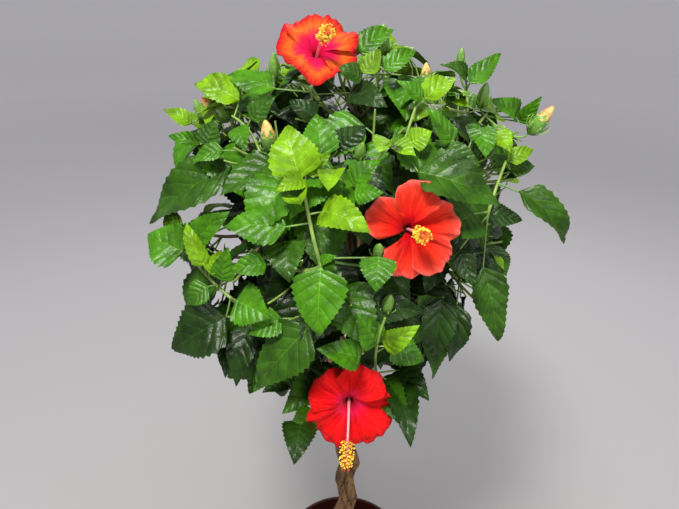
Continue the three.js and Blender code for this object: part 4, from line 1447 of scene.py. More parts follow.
def makeTwigs():
    wood, green = [], []
    for mass in masses:
        wood.append(mass["stem"].walk(shootShape["stemSteps"], shootShape["stemRadii"]))
        for arc in mass["shoots"][: len(mass["kept"])]:
            line = arc.walk(shootShape["steps"], shootShape["radii"])
            wood.append(line[: shootShape["woodSteps"] + 1])
            green.append(line[shootShape["woodSteps"] :])
        green += [arc.walk(sideTwigShape["steps"], sideTwigShape["radii"]) for arc in mass["twigs"]]
    for shape in frontShoots:
        thick, thin = shape["radii"]
        carrier, shoot = shape["arcs"]
        green.append(carrier.walk(frontShape["carrierSteps"], (thick, thick)))
        green.append(shoot.walk(frontShape["shootSteps"], (thick, thin)))
    stalks = [stalkStrand(leaf) for leaf in leaves]
    groups = [("twigs_wood", wood, "twigWood", 8), ("twigs_green", green, "twigGreen", 7)]
    groups.append(("leaf_stalks", stalks, "stalk", 5))
    return [
        grow(name, strandMesh(name, strands), strandTree, Bark=twigMaterial(tone), Sides=sides)
        for name, strands, tone, sides in groups
    ]


# ---- bark of the stems and boughs ----


def barkTube(points, faces, axis, radiusAt, sides):
    # a closed tube along the axis, with long ridges that wander and shallow wrinkles across them
    first = len(points)
    side = Vector((1, 0, 0))
    for number, centre in enumerate(axis):
        ahead = axis[min(number + 1, len(axis) - 1)] - axis[max(number - 1, 0)]
        ahead.normalize()
        side = (side - ahead * side.dot(ahead)).normalized()
        other = ahead.cross(side)
        for corner in range(sides):
            angle = 2 * math.pi * corner / sides
            way = side * math.cos(angle) + other * math.sin(angle)
            radius = radiusAt(number / (len(axis) - 1))
            wander = noise.noise(Vector((way.x * 2, way.y * 2, centre.z * 14 + first * 0.01)))
            ridge = math.cos(barkRelief["ridges"] * angle + 3.2 * wander)
            wrinkle = noise.noise((centre + way * radius) * barkRelief["noiseScale"] * 6)
            swell = noise.noise((centre + way * radius) * barkRelief["noiseScale"])
            radius += barkRelief["ridgeHeight"] * ridge * 0.5 + barkRelief["swell"] * swell
            points.append(centre + way * (radius + barkRelief["wrinkle"] * wrinkle))
    faces.extend(tubeFaces(len(axis) - 1, sides, first))


def barkMaterial():
    material, shader = newMaterial("bark", Roughness=0.82)
    colours = [(0.34, (0.030, 0.014, 0.005)), (0.5, (0.165, 0.084, 0.029)), (0.66, (0.35, 0.195, 0.080))]
    grain, _ = mottle(material, shader, colours, 130, stretch=(1, 1, 0.11), detail=8)
    bump(material, shader, grain.outputs["Fac"], 0.9, 0.0022)
    return material


def stemRadiusAlong(share):
    low, high = stemShape["foot"], stemShape["top"]
    return stemRadiusAt(low + share * (high - low))


def boughRadiusAlong(share):
    return boughShape["radius"] - boughShape["taper"] * share


def makeWood():
    low, high = stemShape["foot"], stemShape["top"]
    rows = int((high - low) / barkRelief["rowHeight"])
    stemPoints, stemFaces = [], []
    for line in stemLines:
        axis = [line.atHeight(low + (high - low) * n / rows) for n in range(rows + 1)]
        barkTube(stemPoints, stemFaces, axis, stemRadiusAlong, barkRelief["sides"])
    boughPoints, boughFaces = [], []
    for mass in masses:
        axis = mass["bough"].places(boughShape["rows"] + 1)
        barkTube(boughPoints, boughFaces, axis, boughRadiusAlong, boughShape["sides"])
    bark = barkMaterial()
    made = []
    for name, points, faces in (("stems", stemPoints, stemFaces), ("boughs", boughPoints, boughFaces)):
        mesh = outwards(meshOf(name, points, faces))
        dress(mesh, bark)
        made.append(addObject(name, mesh))
    return made


# ---- the open blooms ----

bloomShape = {
    "petals": 5,
    "limb": 0.048,  # from the throat to a petal's edge
    "neck": 0.022,
    "neckRadius": 0.004,
    "throatRadius": 0.0046,
    "overlap": 0.0034,
    "ruffle": 0.0058,
    "crinkle": 0.0009,
    "crease": 0.0036,
    "pleat": 0.0010,
    "rows": 28,
    "tubeRows": 4,  # the first of the rows, in the neck
    "columns": 48,
    "thickness": 0.0005,
    "stalkRadii": (0.0021, 0.0019),
    "calyxSize": 0.024,
}
columnShape = {
    "length": 0.072,
    "radii": (0.0019, 0.0010),
    "filaments": 118,
    "filamentFrom": 0.70,  # shares of the way along the column
    "filamentOver": 0.29,
    "filamentLength": (0.0052, 0.0092),
    "filamentLean": (50, 80),
    "filamentRadii": (0.00022, 0.00018),
    "antherSize": (0.0010, 0.0015),
    "stigmas": 5,
    "stigmaLean": 38,
    "stigmaLength": 0.007,
    "stigmaRadii": (0.00045, 0.0004),
    "stigmaSize": 0.0011,
}
petalFinish = {
    "roughness": 0.5,
    "specular": 0.22,
    "subsurface": 0.2,
    "subsurfaceRadius": (0.010, 0.002, 0.001),
    "veins": [(0.36, (0.74, 0.50, 0.50)), (0.52, (1.0, 1.0, 1.0))],
    "relief": 0.8,
    "depth": 0.0050,
}
bloomTints = [  # from the throat out, for each bloom in turn
    [
        (0.0, (0.80, 0.0, 0.05)),
        (0.38, (1.0, 0.006, 0.11)),
        (0.50, (1.0, 0.050, 0.045)),
        (0.64, (1.0, 0.170, 0.016)),
        (0.82, (0.95, 0.070, 0.010)),
        (0.96, (0.60, 0.004, 0.010)),
    ],
    [
        (0.0, (0.60, 0.0, 0.006)),
        (0.24, (0.95, 0.002, 0.006)),
        (0.55, (1.0, 0.028, 0.008)),
        (0.88, (1.0, 0.055, 0.026)),
        (1.0, (1.0, 0.14, 0.11)),
    ],
    [
        (0.0, (0.45, 0.0, 0.010)),
        (0.18, (1.0, 0.008, 0.085)),
        (0.38, (1.0, 0.003, 0.010)),
        (0.86, (1.0, 0.003, 0.003)),
        (1.0, (0.60, 0.002, 0.004)),
    ],
]
petalOpenings = [  # degrees from the column at the throat, over the limb, and how far the edge rolls back
    {"start": 38, "open": 74, "roll": 22},
    {"start": 38, "open": 74, "roll": 16},
    {"start": 34, "open": 70, "roll": 40},
]


def petalProfile(opening, size, steps):  # distance from the axis and along it, from the neck to the edge
    profile = []
    tubeSteps = bloomShape["tubeRows"]
    for n in range(tubeSteps):
        share = n / tubeSteps
        radius = bloomShape["neckRadius"] + (bloomShape["throatRadius"] - bloomShape["neckRadius"]) * share
        profile.append((radius, bloomShape["neck"] * (share - 1)))
    radius, height = bloomShape["throatRadius"], 0.0
    profile.append((radius, height))
    for n in range(steps - tubeSteps):
        share = (n + 0.5) / (steps - tubeSteps)
        slope = opening["start"] + (opening["open"] - opening["start"]) * smoothstep(share, 0, 0.32)
        slope = math.radians(slope + opening["roll"] * smoothstep(share, 0.55, 1))
        piece = bloomShape["limb"] * size / (steps - tubeSteps)
        radius += math.sin(slope) * piece
        height += math.cos(slope) * piece
        profile.append((radius, height))
    return profile


def petalPoint(profile, petal, along, aside, shape, random):
    # along runs from 0 to 1 over the profile, and aside from -1 to 1 across the petal
    short = 1 - shape["round"] * abs(aside) ** 2.8 - 0.012 * math.cos(5 * aside + petal)
    short *= random["reach"]
    place = along * short * (len(profile) - 1)
    step = min(len(profile) - 2, int(place))
    rest = place - step
    radius = profile[step][0] * (1 - rest) + profile[step + 1][0] * rest
    height = profile[step][1] * (1 - rest) + profile[step + 1][1] * rest
    outer = max(0, along * 1.28 - 0.28)
    spread = math.radians(36 + (shape["spread"] - 36) * smoothstep(outer, 0, 0.5))
    angle = math.radians(shape["turns"][petal]) + aside * spread + 0.10 * outer
    ruffle = math.sin(math.pi * (1.9 * aside + random["phase"])) * random["size"]
    crinkle = math.sin(math.pi * (6.3 * aside + random["phase"] * 3))
    crinkle += 0.6 * math.sin(34 * aside + 9 * outer + petal)
    height += bloomShape["overlap"] * aside * min(1, outer * 2)
    height += bloomShape["ruffle"] * ruffle * outer**2 + bloomShape["crinkle"] * crinkle * outer**3
    height -= bloomShape["crease"] * math.cos(math.pi * aside) * smoothstep(outer, 0.1, 0.5)
    pleats = math.sin(15 * aside + 4 * random["phase"]) + 0.5 * math.sin(31 * aside + 5 * outer)
    height += bloomShape["pleat"] * pleats * smoothstep(outer, 0.05, 0.6)
    height += random["lift"] * outer**1.5 + random["roll"] * smoothstep(outer, 0.6, 1) * aside
    radius += 0.0008 * outer**3 * math.sin(math.pi * 4.1 * aside + petal * 2)
    return radius, height, angle


def corollaMesh(name, opening, shape, seed):
    rows, columns = bloomShape["rows"], bloomShape["columns"]
    profile = petalProfile(opening, shape["size"], rows)
    stream = chance(seed)
    points, faces, places = [], [], []
    for petal in range(bloomShape["petals"]):
        random = {"phase": between(stream, 0, 2), "size": between(stream, 0.6, 1.3)}
        random["lift"] = between(stream, -0.006, 0.006)
        random["roll"] = between(stream, -0.006, 0.006)
        random["reach"] = between(stream, 0.94, 1)
        first = len(points)
        for row in range(rows + 1):
            for column in range(columns + 1):
                aside = 2 * column / columns - 1
                radius, height, angle = petalPoint(profile, petal, row / rows, aside, shape, random)
                points.append((radius * math.cos(angle), radius * math.sin(angle), height))
                places.append((column / columns, row / rows))
        for row in range(rows):
            for column in range(columns):
                a = first + row * (columns + 1) + column
                faces.append((a, a + 1, a + columns + 2, a + columns + 1))
    mesh = meshOf(name, points, faces)
    givePlaces(mesh, "petal", places)
    return mesh


def petalMaterial(name, tints):
    material, shader = newMaterial(
        name,
        Roughness=petalFinish["roughness"],
        Specular_IOR_Level=petalFinish["specular"],
        Subsurface_Weight=petalFinish["subsurface"],
        Subsurface_Radius=petalFinish["subsurfaceRadius"],
        Subsurface_Scale=1.0,
    )
    tree = material.node_tree
    place = addNode(tree, "ShaderNodeUVMap", uv_map="petal")
    split = addNode(tree, "ShaderNodeSeparateXYZ")
    streak = addNode(tree, "ShaderNodeTexNoise", {"Scale": 7, "Detail": 6, "Roughness": 0.7})
    stretch = addNode(tree, "ShaderNodeMapping", {"Scale": (7.5, 0.55, 1)})
    blend = addNode(tree, "ShaderNodeMath", {1: 0.5}, operation="MULTIPLY_ADD")
    shift = addNode(tree, "ShaderNodeMath", {1: -0.25}, operation="ADD")
    thread = addNode(tree, "ShaderNodeMapping", {"Scale": (26, 1.6, 1)})
    veins = addNode(tree, "ShaderNodeTexNoise", {"Scale": 3, "Detail": 4, "Roughness": 0.6})
    shades = rampOf(tree, petalFinish["veins"])
    shaded = addNode(tree, "ShaderNodeMix", {"Factor": 1.0}, data_type="RGBA", blend_type="MULTIPLY")
    ramp = rampOf(tree, [(0.18 + 0.82 * stop, colour) for stop, colour in tints])
    chain(
        tree,
        (place, "UV", split, "Vector"),
        (place, "UV", stretch, "Vector"),
        (stretch, "Vector", streak, "Vector"),
        (streak, "Fac", blend, 0),
        (split, "Y", blend, 2),
        (blend, "Value", shift, 0),
        (shift, "Value", ramp, "Fac"),
        (place, "UV", thread, "Vector"),
        (thread, "Vector", veins, "Vector"),
        (veins, "Fac", shades, "Fac"),
        (ramp, "Color", shaded, 6),
        (shades, "Color", shaded, 7),
        (shaded, 2, shader, "Base Color"),
    )
    bump(material, shader, streak.outputs["Fac"], petalFinish["relief"], petalFinish["depth"])
    return material


def plainMaterial(name, colours, roughness, scale=300):
    material, shader = newMaterial(name, Roughness=roughness)
    grain, _ = mottle(material, shader, colours, scale)
    bump(material, shader, grain.outputs["Fac"], 0.3, 0.0004)
    return material


def bloomMatrix(bloom):
    facing = heading(bloom["azimuth"], bloom["elevation"])
    across = facing.cross(up).normalized()
    return Matrix.Translation(bloom["throat"]) @ axesMatrix(facing.cross(across), across, facing).to_4x4()


def solid(made, thickness):  # gives a sheet its thickness and keeps the result as a plain mesh
    modifier = made.modifiers.new("thickness", "SOLIDIFY")
    modifier.thickness = thickness
    modifier.offset = 0
    depsgraph = bpy.context.evaluated_depsgraph_get()
    result = bpy.data.meshes.new_from_object(made.evaluated_get(depsgraph))
    made.modifiers.remove(modifier)
    made.data = result
    return made


def formPlace(point, way, size, form=0):  # a form's place for the setting tree, its axis along the way
    return point, way.to_track_quat("Z", "Y").to_matrix(), (size,) * 3, form


def petalsOf(number, bloom):
    name = f"petals_{number + 1}"
    mesh = corollaMesh(name, petalOpenings[number], bloom["petals"], 300 + number)
    mesh.transform(bloomMatrix(bloom))
    dress(mesh, petalMaterial(f"petals {number + 1}", bloomTints[number]))
    return solid(addObject(name, mesh), bloomShape["thickness"])


def growColumn(bloom, stream, parts):  # the column with its filaments, anthers and stigmas
    facing = heading(bloom["azimuth"], bloom["elevation"])
    throat = Vector(bloom["throat"])
    aside, rise, reach = bloom["column"]
    tip = throat + heading(aside, rise) * columnShape["length"] * reach
    column = Arc(throat - facing * bloomShape["neck"], throat + facing * 0.022, tip)
    parts["columns"].append(column.walk(16, columnShape["radii"]))
    thick, thin = columnShape["filamentRadii"]
    count = columnShape["filaments"]
    for n in range(count):
        share = columnShape["filamentFrom"] + columnShape["filamentOver"] * (n / count) ** 0.8
        start = column.along(share)
        lean = math.radians(between(stream, *columnShape["filamentLean"]))
        way = tilted(column.tangent(share), lean, n * goldenTurn)
        end = start + way * between(stream, *columnShape["filamentLength"])
        parts["filaments"].append([(start, thick), (end, thin)])
        size = between(stream, *columnShape["antherSize"])
        parts["anthers"].append(formPlace(end, tilted(way, 0.5, n), size))
    thick, thin = columnShape["stigmaRadii"]
    count = columnShape["stigmas"]
    for n in range(count):
        way = tilted(column.tangent(1), math.radians(columnShape["stigmaLean"]), n * 2 * math.pi / count)
        end = tip + way * columnShape["stigmaLength"]
        parts["filaments"].append([(tip - way * 0.001, thick), (end, thin)])
        parts["stigmas"].append(formPlace(end, way, columnShape["stigmaSize"]))


def makeBlooms():
    made = []
    parts = {name: [] for name in ("stalks", "columns", "filaments", "anthers", "stigmas", "calyxes")}
    for number, bloom in enumerate(bloomPlaces):
        made.append(petalsOf(number, bloom))
        facing = heading(bloom["azimuth"], bloom["elevation"])
        neck = Vector(bloom["throat"]) - facing * bloomShape["neck"]
        root = nearestOn(massNamed[bloom["on"]], neck)
        stalk = Arc(root, neck - facing * 0.4 * (neck - root).length, neck - facing * 0.004)
        parts["stalks"].append(stalk.walk(10, bloomShape["stalkRadii"]))
        growColumn(bloom, chance(900 + number), parts)
        parts["calyxes"].append(formPlace(neck - facing * 0.006, facing, bloomShape["calyxSize"], 1))
    return made, parts


def antherMesh():
    grain = bmesh.new()
    bmesh.ops.create_icosphere(grain, subdivisions=1, radius=1)
    for vertex in grain.verts:
        vertex.co.z *= 0.7
    mesh = bpy.data.meshes.new("anther")
    grain.to_mesh(mesh)
    grain.free()
    mesh.shade_smooth()
    return mesh


# ---- buds ----

budPlaces = [  # middle, lean, length, and whether apricot petals show at the tip
    {"at": (-0.173, -0.060, 1.136), "azimuth": -80, "elevation": 40, "length": 0.042, "isOpening": True},
    {"at": (-0.098, -0.150, 1.128), "azimuth": -25, "elevation": 72, "length": 0.040, "isOpening": True},
    {"at": (-0.161, -0.040, 1.153), "azimuth": -60, "elevation": 60, "length": 0.030},
    {"at": (-0.198, -0.040, 1.131), "azimuth": -60, "elevation": 70, "length": 0.026},
    {"at": (-0.100, -0.062, 1.188), "azimuth": 0, "elevation": 75, "length": 0.030},
    {"at": (0.028, -0.020, 1.214), "azimuth": 0, "elevation": 80, "length": 0.036},
    {"at": (0.084, -0.020, 1.172), "azimuth": -20, "elevation": 75, "length": 0.034, "isOpening": True},
    {"at": (0.133, 0.020, 1.190), "azimuth": 0, "elevation": 85, "length": 0.024},
    {"at": (0.154, -0.040, 1.154), "azimuth": 20, "elevation": 78, "length": 0.032},
    {"at": (0.223, -0.060, 1.129), "azimuth": 60, "elevation": 58, "length": 0.042, "isOpening": True},
    {"at": (0.020, -0.232, 1.033), "azimuth": 0, "elevation": 60, "length": 0.028},
    {"at": (0.031, -0.252, 0.984), "azimuth": 15, "elevation": 68, "length": 0.028},
    {"at": (0.000, -0.180, 1.123), "azimuth": 20, "elevation": 60, "length": 0.024},
]
budForm = {
    "sides": 30,
    "rows": 24,
    "width": 0.22,  # half of it; this and the next two are shares of the bud's length
    "openFrom": 0.62,  # from here up an opening bud is slimmer and twisted
    "lobes": (0.50, 0.24),  # least height of the sepals, and how much higher their tips are
    "bracts": 7,
    "bractLength": 0.46,  # a share of the bud's length too
    "stalkRadii": (0.0017, 0.0013),
}
calyxForm = {"sides": 20, "rows": 6, "wall": 0.86}


def budMesh(name, isOpening):
    # a closed bud with five ridges; one that is opening has furled petals for its upper part
    rows, sides = budForm["rows"], budForm["sides"]
    points, faces, parts = [], tubeFaces(rows, sides), []
    for row in range(rows + 1):
        share = row / rows
        isFurled = isOpening and share > budForm["openFrom"]
        swell = math.sin(math.pi * min(1, 0.05 + 0.93 * share) ** 0.80) ** 0.62
        for corner in range(sides):
            angle = 2 * math.pi * corner / sides + (1.1 * share if isFurled else 0)
            ridge = 1 + 0.07 * math.cos(5 * angle)
            radius = budForm["width"] * swell * ridge * (0.9 if isFurled else 1)
            points.append((radius * math.cos(angle), radius * math.sin(angle), share))
    low, rise = budForm["lobes"]
    for row in range(rows):
        for corner in range(sides):
            lobe = low + rise * abs(math.cos(2.5 * 2 * math.pi * (corner + 0.5) / sides)) ** 1.6
            parts.append(2 if isOpening and row / rows >= lobe else 0)
    parts += [0, 2 if isOpening else 0]
    for number in range(budForm["bracts"]):
        addBract(points, faces, parts, 2 * math.pi * number / budForm["bracts"])
    mesh = outwards(meshOf(name, points, faces))
    markParts(mesh, parts)
    return mesh


def addBract(points, faces, parts, angle):  # a slim pointed bract that curves up beside the bud
    first = len(points)
    way = Vector((math.cos(angle), math.sin(angle), 0))
    side = Vector((-math.sin(angle), math.cos(angle), 0))
    length = budForm["bractLength"]
    for share, width in ((0, 0.035), (0.4, 0.045), (0.8, 0.025)):
        centre = way * (0.12 + 0.26 * math.sin(share * 1.9)) + up * (0.02 + length * share)
        points.extend([centre - side * width, centre + side * width, centre - way * 0.03])
    points.append(way * 0.33 + up * (0.02 + length))
    for row in (0, 3):
        for a, b in ((0, 1), (1, 2), (2, 0)):
            faces.append((first + row + a, first + row + b, first + row + b + 3, first + row + a + 3))
            parts.append(1)
    for a, b in ((6, 7), (7, 8), (8, 6)):
        faces.append((first + a, first + b, first + 9))
        parts.append(1)
    faces.append((first, first + 2, first + 1))
    parts.append(1)


def calyxMesh():  # the green cup behind an open bloom, with five pointed lobes
    sides, rows = calyxForm["sides"], calyxForm["rows"]
    points, faces = [], ringFaces(rows, sides)
    for row in range(rows + 1):
        share = row / rows
        for corner in range(sides):
            angle = 2 * math.pi * corner / sides
            lobe = 0.5 + 0.5 * math.cos(5 * angle)
            height = share * (0.55 + 0.45 * lobe)
            radius = 0.16 + 0.17 * math.sin(share * 1.5) + 0.10 * share * lobe
            points.append((radius * math.cos(angle), radius * math.sin(angle), height))
    inner = len(points)
    wall = calyxForm["wall"]
    points += [(x * wall, y * wall, z * 0.98 + 0.05) for x, y, z in points]
    faces += [tuple(reversed([inner + corner for corner in face])) for face in faces]
    rim = rows * sides
    for corner in range(sides):
        after = (corner + 1) % sides
        faces.append((rim + corner, rim + after, inner + rim + after, inner + rim + corner))
        faces.append((after, corner, inner + corner, inner + after))
    parts = [0] * len(faces)
    for number in range(budForm["bracts"]):
        addBract(points, faces, parts, 2 * math.pi * number / budForm["bracts"] + 0.3)
    mesh = outwards(meshOf("calyx", points, faces))
    markParts(mesh, parts)
    return mesh


def makeBudPlaces():
    places, stalks = [], []
    for bud in budPlaces:
        lean = heading(bud["azimuth"], bud["elevation"])
        foot = Vector(bud["at"]) - lean * bud["length"] / 2
        mass = min(masses, key=lambda each: (each["heart"] - foot).length)
        root = nearestOn(mass, foot)
        bend = foot - lean * 0.4 * (foot - root).length
        stalks.append(Arc(root, bend, foot + lean * 0.002).walk(8, budForm["stalkRadii"]))
        places.append(formPlace(foot, lean, bud["length"], 2 if "isOpening" in bud else 0))
    return places, stalks


def makeFlowering():
    made, parts = makeBlooms()
    budSpots, budStalks = makeBudPlaces()
    green = plainMaterial("calyx green", [(0.3, (0.09, 0.22, 0.03)), (0.7, (0.20, 0.38, 0.06))], 0.45)
    bract = plainMaterial("bract green", [(0.3, (0.13, 0.30, 0.04)), (0.7, (0.26, 0.46, 0.08))], 0.45)
    apricotShades = [(0.35, (0.74, 0.26, 0.07)), (0.6, (0.84, 0.60, 0.20))]
    apricot = plainMaterial("furled petal", apricotShades, 0.5, 90)
    yellow = plainMaterial("anther yellow", [(0.3, (0.85, 0.48, 0.02)), (0.7, (0.95, 0.72, 0.06))], 0.6)
    crimson = plainMaterial("stigma red", [(0.3, (0.45, 0.01, 0.01)), (0.7, (0.65, 0.03, 0.02))], 0.5)
    pale = plainMaterial("column pink", [(0.3, (0.76, 0.16, 0.22)), (0.7, (0.86, 0.38, 0.42))], 0.4)
    golden = plainMaterial("filament orange", [(0.3, (0.78, 0.13, 0.02)), (0.7, (0.86, 0.32, 0.03))], 0.5)
    forms = formCollection("budForm", [budMesh("bud", False), calyxMesh(), budMesh("openingBud", True)])
    anthers = formCollection("antherForm", [antherMesh()])
    strands = [("bloom_stalks", parts["stalks"] + budStalks, twigMaterial("stalk"), 7)]
    strands.append(("bloom_columns", parts["columns"], pale, 10))
    strands.append(("bloom_filaments", parts["filaments"], golden, 4))
    for name, lines, material, sides in strands:
        made.append(grow(name, strandMesh(name, lines), strandTree, Bark=material, Sides=sides))
    settings = [("buds", budSpots + parts["calyxes"], forms, green, bract, apricot)]
    settings.append(("anthers", parts["anthers"], anthers, yellow, yellow, yellow))
    settings.append(("stigmas", parts["stigmas"], anthers, crimson, crimson, crimson))
    for name, places, collection, skin, back, ribs in settings:
        mesh = settingMesh(name, places)
        made.append(grow(name, mesh, settingTree, Forms=collection, Skin=skin, Back=back, Ribs=ribs))
    return made


# ---- the pot ----

potShape = {
    "height": 0.235,
    "rimRadius": 0.127,
    "footRadius": 0.094,
    "wall": 0.003,
    "floor": 0.0055,  # top of its floor
    "recess": (0.070, 0.0025),  # radius and height of the hollow in its underside
    "ring": (0.075, 0.0905),  # inner and outer radius of the flat ring that it stands on
    "lipHeight": 0.016,
    "lipStep": 0.004,
    "sides": 128,
    "beads": (0.150, 0.160),  # heights of two thin raised lines below the lip
    "beadSize": (0.0015, 0.0008),  # half of a line's width, and how far it stands out
}


def wallRadius(height):
    rise = potShape["rimRadius"] - potShape["lipStep"] - potShape["footRadius"]
    return potShape["footRadius"] + rise * height / potShape["height"]


def potOutline():
    lipFoot = potShape["height"] - potShape["lipHeight"]
    high = potShape["height"]
    rim = potShape["rimRadius"]
    wall = potShape["wall"]
    under, recess = potShape["recess"]
    standFrom, standTo = potShape["ring"]
    outline = [(0.0, recess), (under, recess), (under + 0.002, 0.0004), (standFrom, 0), (standTo, 0)]
    outline += [(0.0928, 0.0008), (0.0941, 0.0028), (wallRadius(0.010), 0.010)]
    half, out = potShape["beadSize"]
    for bead in potShape["beads"]:
        outline += [(wallRadius(bead - half), bead - half), (wallRadius(bead) + out, bead)]
        outline.append((wallRadius(bead + half), bead + half))
    outline.append((wallRadius(lipFoot - 0.003), lipFoot - 0.003))
    outline.append((wallRadius(lipFoot) + 0.0006, lipFoot - 0.0006))
    outline += [(rim - 0.0026, lipFoot), (rim - 0.0012, lipFoot + 0.0008), (rim - 0.0006, lipFoot + 0.003)]
    outline += [(rim - 0.0004, high - 0.004), (rim - 0.0012, high - 0.0012), (rim - 0.003, high)]
    inner = wallRadius(high) - wall
    outline += [(inner + 0.0012, high), (inner + 0.0002, high - 0.0010), (inner - 0.0001, high - 0.004)]
    outline += [(wallRadius(0.150) - wall, 0.150), (wallRadius(0.010) - wall, 0.010)]
    outline += [(wallRadius(0.005) - wall - 0.003, potShape["floor"]), (0.0, potShape["floor"])]
    return outline


def latheMesh(name, outline, sides):  # turns an outline that starts and ends on the axis
    points, faces = [], []
    rings = []
    for radius, height in outline:
        if radius == 0:
            rings.append([len(points)] * sides)
            points.append((0, 0, height))
        else:
            rings.append(list(range(len(points), len(points) + sides)))
            points += ringPoints(radius, height, sides)
    for low, high in zip(rings, rings[1:]):
        for corner in range(sides):
            after = (corner + 1) % sides
            faces.append(tuple(dict.fromkeys((low[corner], low[after], high[after], high[corner]))))
    return outwards(meshOf(name, points, faces))


def potMaterial():
    material, shader = newMaterial("pot plastic", Roughness=0.45, Specular_IOR_Level=0.3)
    # The plastic's colours are darker than the pot's own maroon. This is painted shade for the inner wall.
    colours = [(0.25, (0.026, 0.0035, 0.0024)), (0.6, (0.046, 0.0065, 0.0042))]
    colours.append((0.85, (0.070, 0.014, 0.010)))
    grain, _ = mottle(material, shader, colours, 14, stretch=(1, 1, 0.5), detail=8)
    bump(material, shader, grain.outputs["Fac"], 0.25, 0.0008)
    return material


def makePot():
    mesh = latheMesh("pot_shell", potOutline(), potShape["sides"])
    dress(mesh, potMaterial())
    return addObject("pot_shell", mesh)


# ---- the soil ----

soilShape = {
    "level": 0.200,
    "edgeDrop": 0.005,
    "relief": 0.0022,
    "rings": 40,
    "sides": 96,
    "lumps": (60, 170),
    "foot": 0.006,
    "wallGap": 0.0006,
    "footGap": 0.0035,
    "crumbs": 42000,  # for each square metre
    "crumbRadius": 0.0030,
    "crumbSize": (0.35, 1.0),
    "crumbReach": 0.113,  # from the axis
    "seed": 5,
}


def soilMesh():
    rings, sides = soilShape["rings"], soilShape["sides"]
    points, faces = [], ringFaces(rings - 1, sides)
    coarse, fine = soilShape["lumps"]
    outer = wallRadius(soilShape["level"]) - potShape["wall"] - soilShape["wallGap"]
    for ring in range(1, rings + 1):
        share = ring / rings
        for corner in range(sides):
            angle = 2 * math.pi * corner / sides
            x, y = outer * share * math.cos(angle), outer * share * math.sin(angle)
            lump = noise.noise(Vector((x, y, 0)) * coarse) + 0.5 * noise.noise(Vector((x, y, 3)) * fine)
            height = soilShape["level"] - soilShape["edgeDrop"] * smoothstep(share, 0.62, 1)
            points.append((x, y, height - soilShape["relief"] + soilShape["relief"] * lump))
    faces.append(tuple(reversed(range(sides))))
    edge = len(points) - sides
    foot = len(points)
    low = wallRadius(soilShape["foot"]) - potShape["wall"] - soilShape["footGap"]
    points += ringPoints(low, soilShape["foot"], sides)
    for corner in range(sides):
        after = (corner + 1) % sides
        faces.append((foot + corner, foot + after, edge + after, edge + corner))
    faces.append(tuple(reversed(range(foot, foot + sides))))
    return outwards(meshOf("soil_bed", points, faces))


def crumbMesh(number):
    grain = bmesh.new()
    bmesh.ops.create_icosphere(grain, subdivisions=1, radius=soilShape["crumbRadius"])
    for vertex in grain.verts:
        vertex.co *= 1 + 0.55 * noise.noise(vertex.co * 420 + Vector((number * 7, 0, 0)))
        vertex.co.z *= 0.75
    mesh = bpy.data.meshes.new(f"crumb{number}")
    grain.to_mesh(mesh)
    grain.free()
    return mesh


def makeCrumbTree():
    inputs = [("Forms", "Collection", None), ("Earth", "Material", None), ("Density", "Float", 1000.0)]
    inputs += [("Smallest", "Float", 0.3), ("Largest", "Float", 1.0), ("Seed", "Int", 1)]
    tree = newTree("crumbs", inputs)
    start, end, realize, skin = endNodes(tree)
    spread = addNode(tree, "GeometryNodeDistributePointsOnFaces")
    forms = addNode(tree, "GeometryNodeCollectionInfo", {"Separate Children": True, "Reset Children": True})
    turn = addNode(tree, "FunctionNodeRandomValue", {1: (6.283, 6.283, 6.283)}, data_type="FLOAT_VECTOR")
    size = addNode(tree, "FunctionNodeRandomValue", data_type="FLOAT")
    rotation = addNode(tree, "FunctionNodeEulerToRotation")
    setOut = addNode(tree, "GeometryNodeInstanceOnPoints", {"Pick Instance": True})
    chain(
        tree,
        (start, "Geometry", spread, "Mesh"),
        (start, "Density", spread, "Density"),
        (start, "Seed", spread, "Seed"),
        (start, "Seed", turn, "Seed"),
        (start, "Seed", size, "Seed"),
        (start, "Smallest", size, 2),
        (start, "Largest", size, 3),
        (spread, "Points", setOut, "Points"),
        (start, "Forms", forms, "Collection"),
        (forms, "Instances", setOut, "Instance"),
        (turn, 0, rotation, "Euler"),
        (rotation, "Rotation", setOut, "Rotation"),
        (size, 1, setOut, "Scale"),
        (setOut, "Instances", realize, "Geometry"),
        (realize, "Geometry", skin, "Geometry"),
        (start, "Earth", skin, "Material"),
        (skin, "Geometry", end, "Geometry"),
    )
    return tree


def soilMaterial():
    material, shader = newMaterial("soil", Roughness=0.95)
    colours = [(0.3, (0.010, 0.007, 0.005)), (0.6, (0.030, 0.020, 0.013)), (0.85, (0.075, 0.052, 0.034))]
    grain, _ = mottle(material, shader, colours, 240, detail=8)
    bump(material, shader, grain.outputs["Fac"], 0.9, 0.0015)
    return material


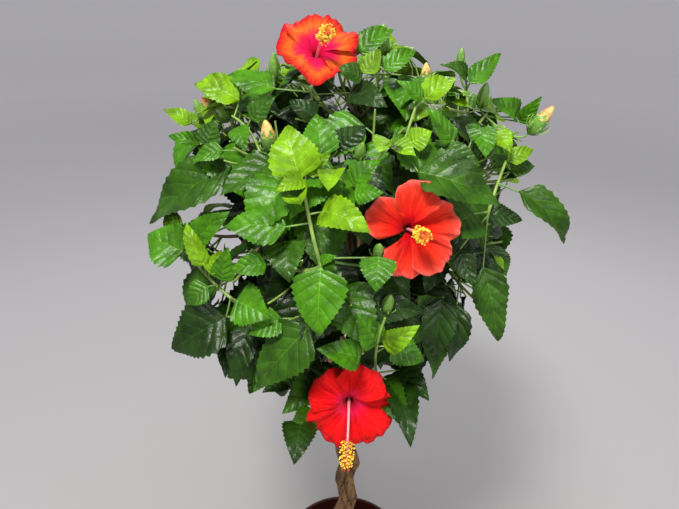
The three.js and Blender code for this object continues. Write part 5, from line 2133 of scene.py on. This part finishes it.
def makeSoil():
    earth = soilMaterial()
    bed = addObject("soil_bed", soilMesh())
    dress(bed.data, earth)
    top = bmesh.new()  # the bed's upper side, without its edge, for the crumbs
    top.from_mesh(bed.data)
    reach = soilShape["crumbReach"]
    bare = [face for face in top.faces if face.normal.z < 0.3 or face.calc_center_median().xy.length > reach]
    bmesh.ops.delete(top, geom=bare, context="FACES")
    field = bpy.data.meshes.new("crumb field")
    top.to_mesh(field)
    top.free()
    low, high = soilShape["crumbSize"]
    forms = formCollection("crumbForm", [crumbMesh(number) for number in range(4)])
    crumbs = grow(
        "soil_crumbs",
        field,
        makeCrumbTree(),
        Forms=forms,
        Earth=earth,
        Density=float(soilShape["crumbs"]),
        Smallest=low,
        Largest=high,
        Seed=soilShape["seed"],
    )
    return [bed, crumbs]


# ---- everything in place ----


def makeFloor():
    half = floorSetup["size"] / 2
    corners = [(-half, -half, 0), (half, -half, 0), (half, half, 0), (-half, half, 0)]
    mesh = meshOf("floor", corners, [(0, 1, 2, 3)])
    # Painted shade and light: the floor is darker near the pot and grows paler with distance from it.
    material, shader = newMaterial("floor", Roughness=0.7)
    tree = material.node_tree
    place = addNode(tree, "ShaderNodeTexCoord")
    away = addNode(tree, "ShaderNodeVectorMath", operation="LENGTH")
    spread = addNode(tree, "ShaderNodeMapRange", {"From Max": floorSetup["reach"]})
    ramp = rampOf(tree, floorSetup["tones"])
    chain(
        tree,
        (place, "Object", away, 0),
        (away, "Value", spread, "Value"),
        (spread, "Result", ramp, "Fac"),
        (ramp, "Color", shader, "Base Color"),
    )
    dress(mesh, material)
    addObject("floor", mesh)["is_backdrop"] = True


def standFor(piece, nodes):
    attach(piece, "root")
    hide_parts(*nodes)


makeFloor()
leafNodes = [f"leaves_{mass['name']}" for mass in masses]
boughNodes = [f"bough_{mass['name']}" for mass in masses]
stemNodes = [f"stem_{number + 1}" for number in range(stemShape["count"])]

standFor(makePot(), ["pot"])
for piece in makeSoil():
    standFor(piece, ["soil"])
print("pot and soil made")
stems, boughs = makeWood()
standFor(stems, stemNodes)
standFor(boughs, boughNodes)
print("stems and boughs made")
for piece in makeTwigs() + makeLeaves():
    standFor(piece, leafNodes)
print("twigs and leaves made")
for piece in makeFlowering():
    standFor(piece, leafNodes)
print("blooms and buds made")

triangles = 0
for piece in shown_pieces():
    if piece.type == "MESH":
        count = sum(len(face.vertices) - 2 for face in piece.data.polygons)
        triangles += count
        print(f"  {piece.name}: {count} triangles")
print("triangles in all:", triangles)

scene.view_settings.view_transform = "Standard"
boxes = {"solids": frameBox, "dressed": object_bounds()}
{name: [list(corner) for corner in box] for name, box in boxes.items()}
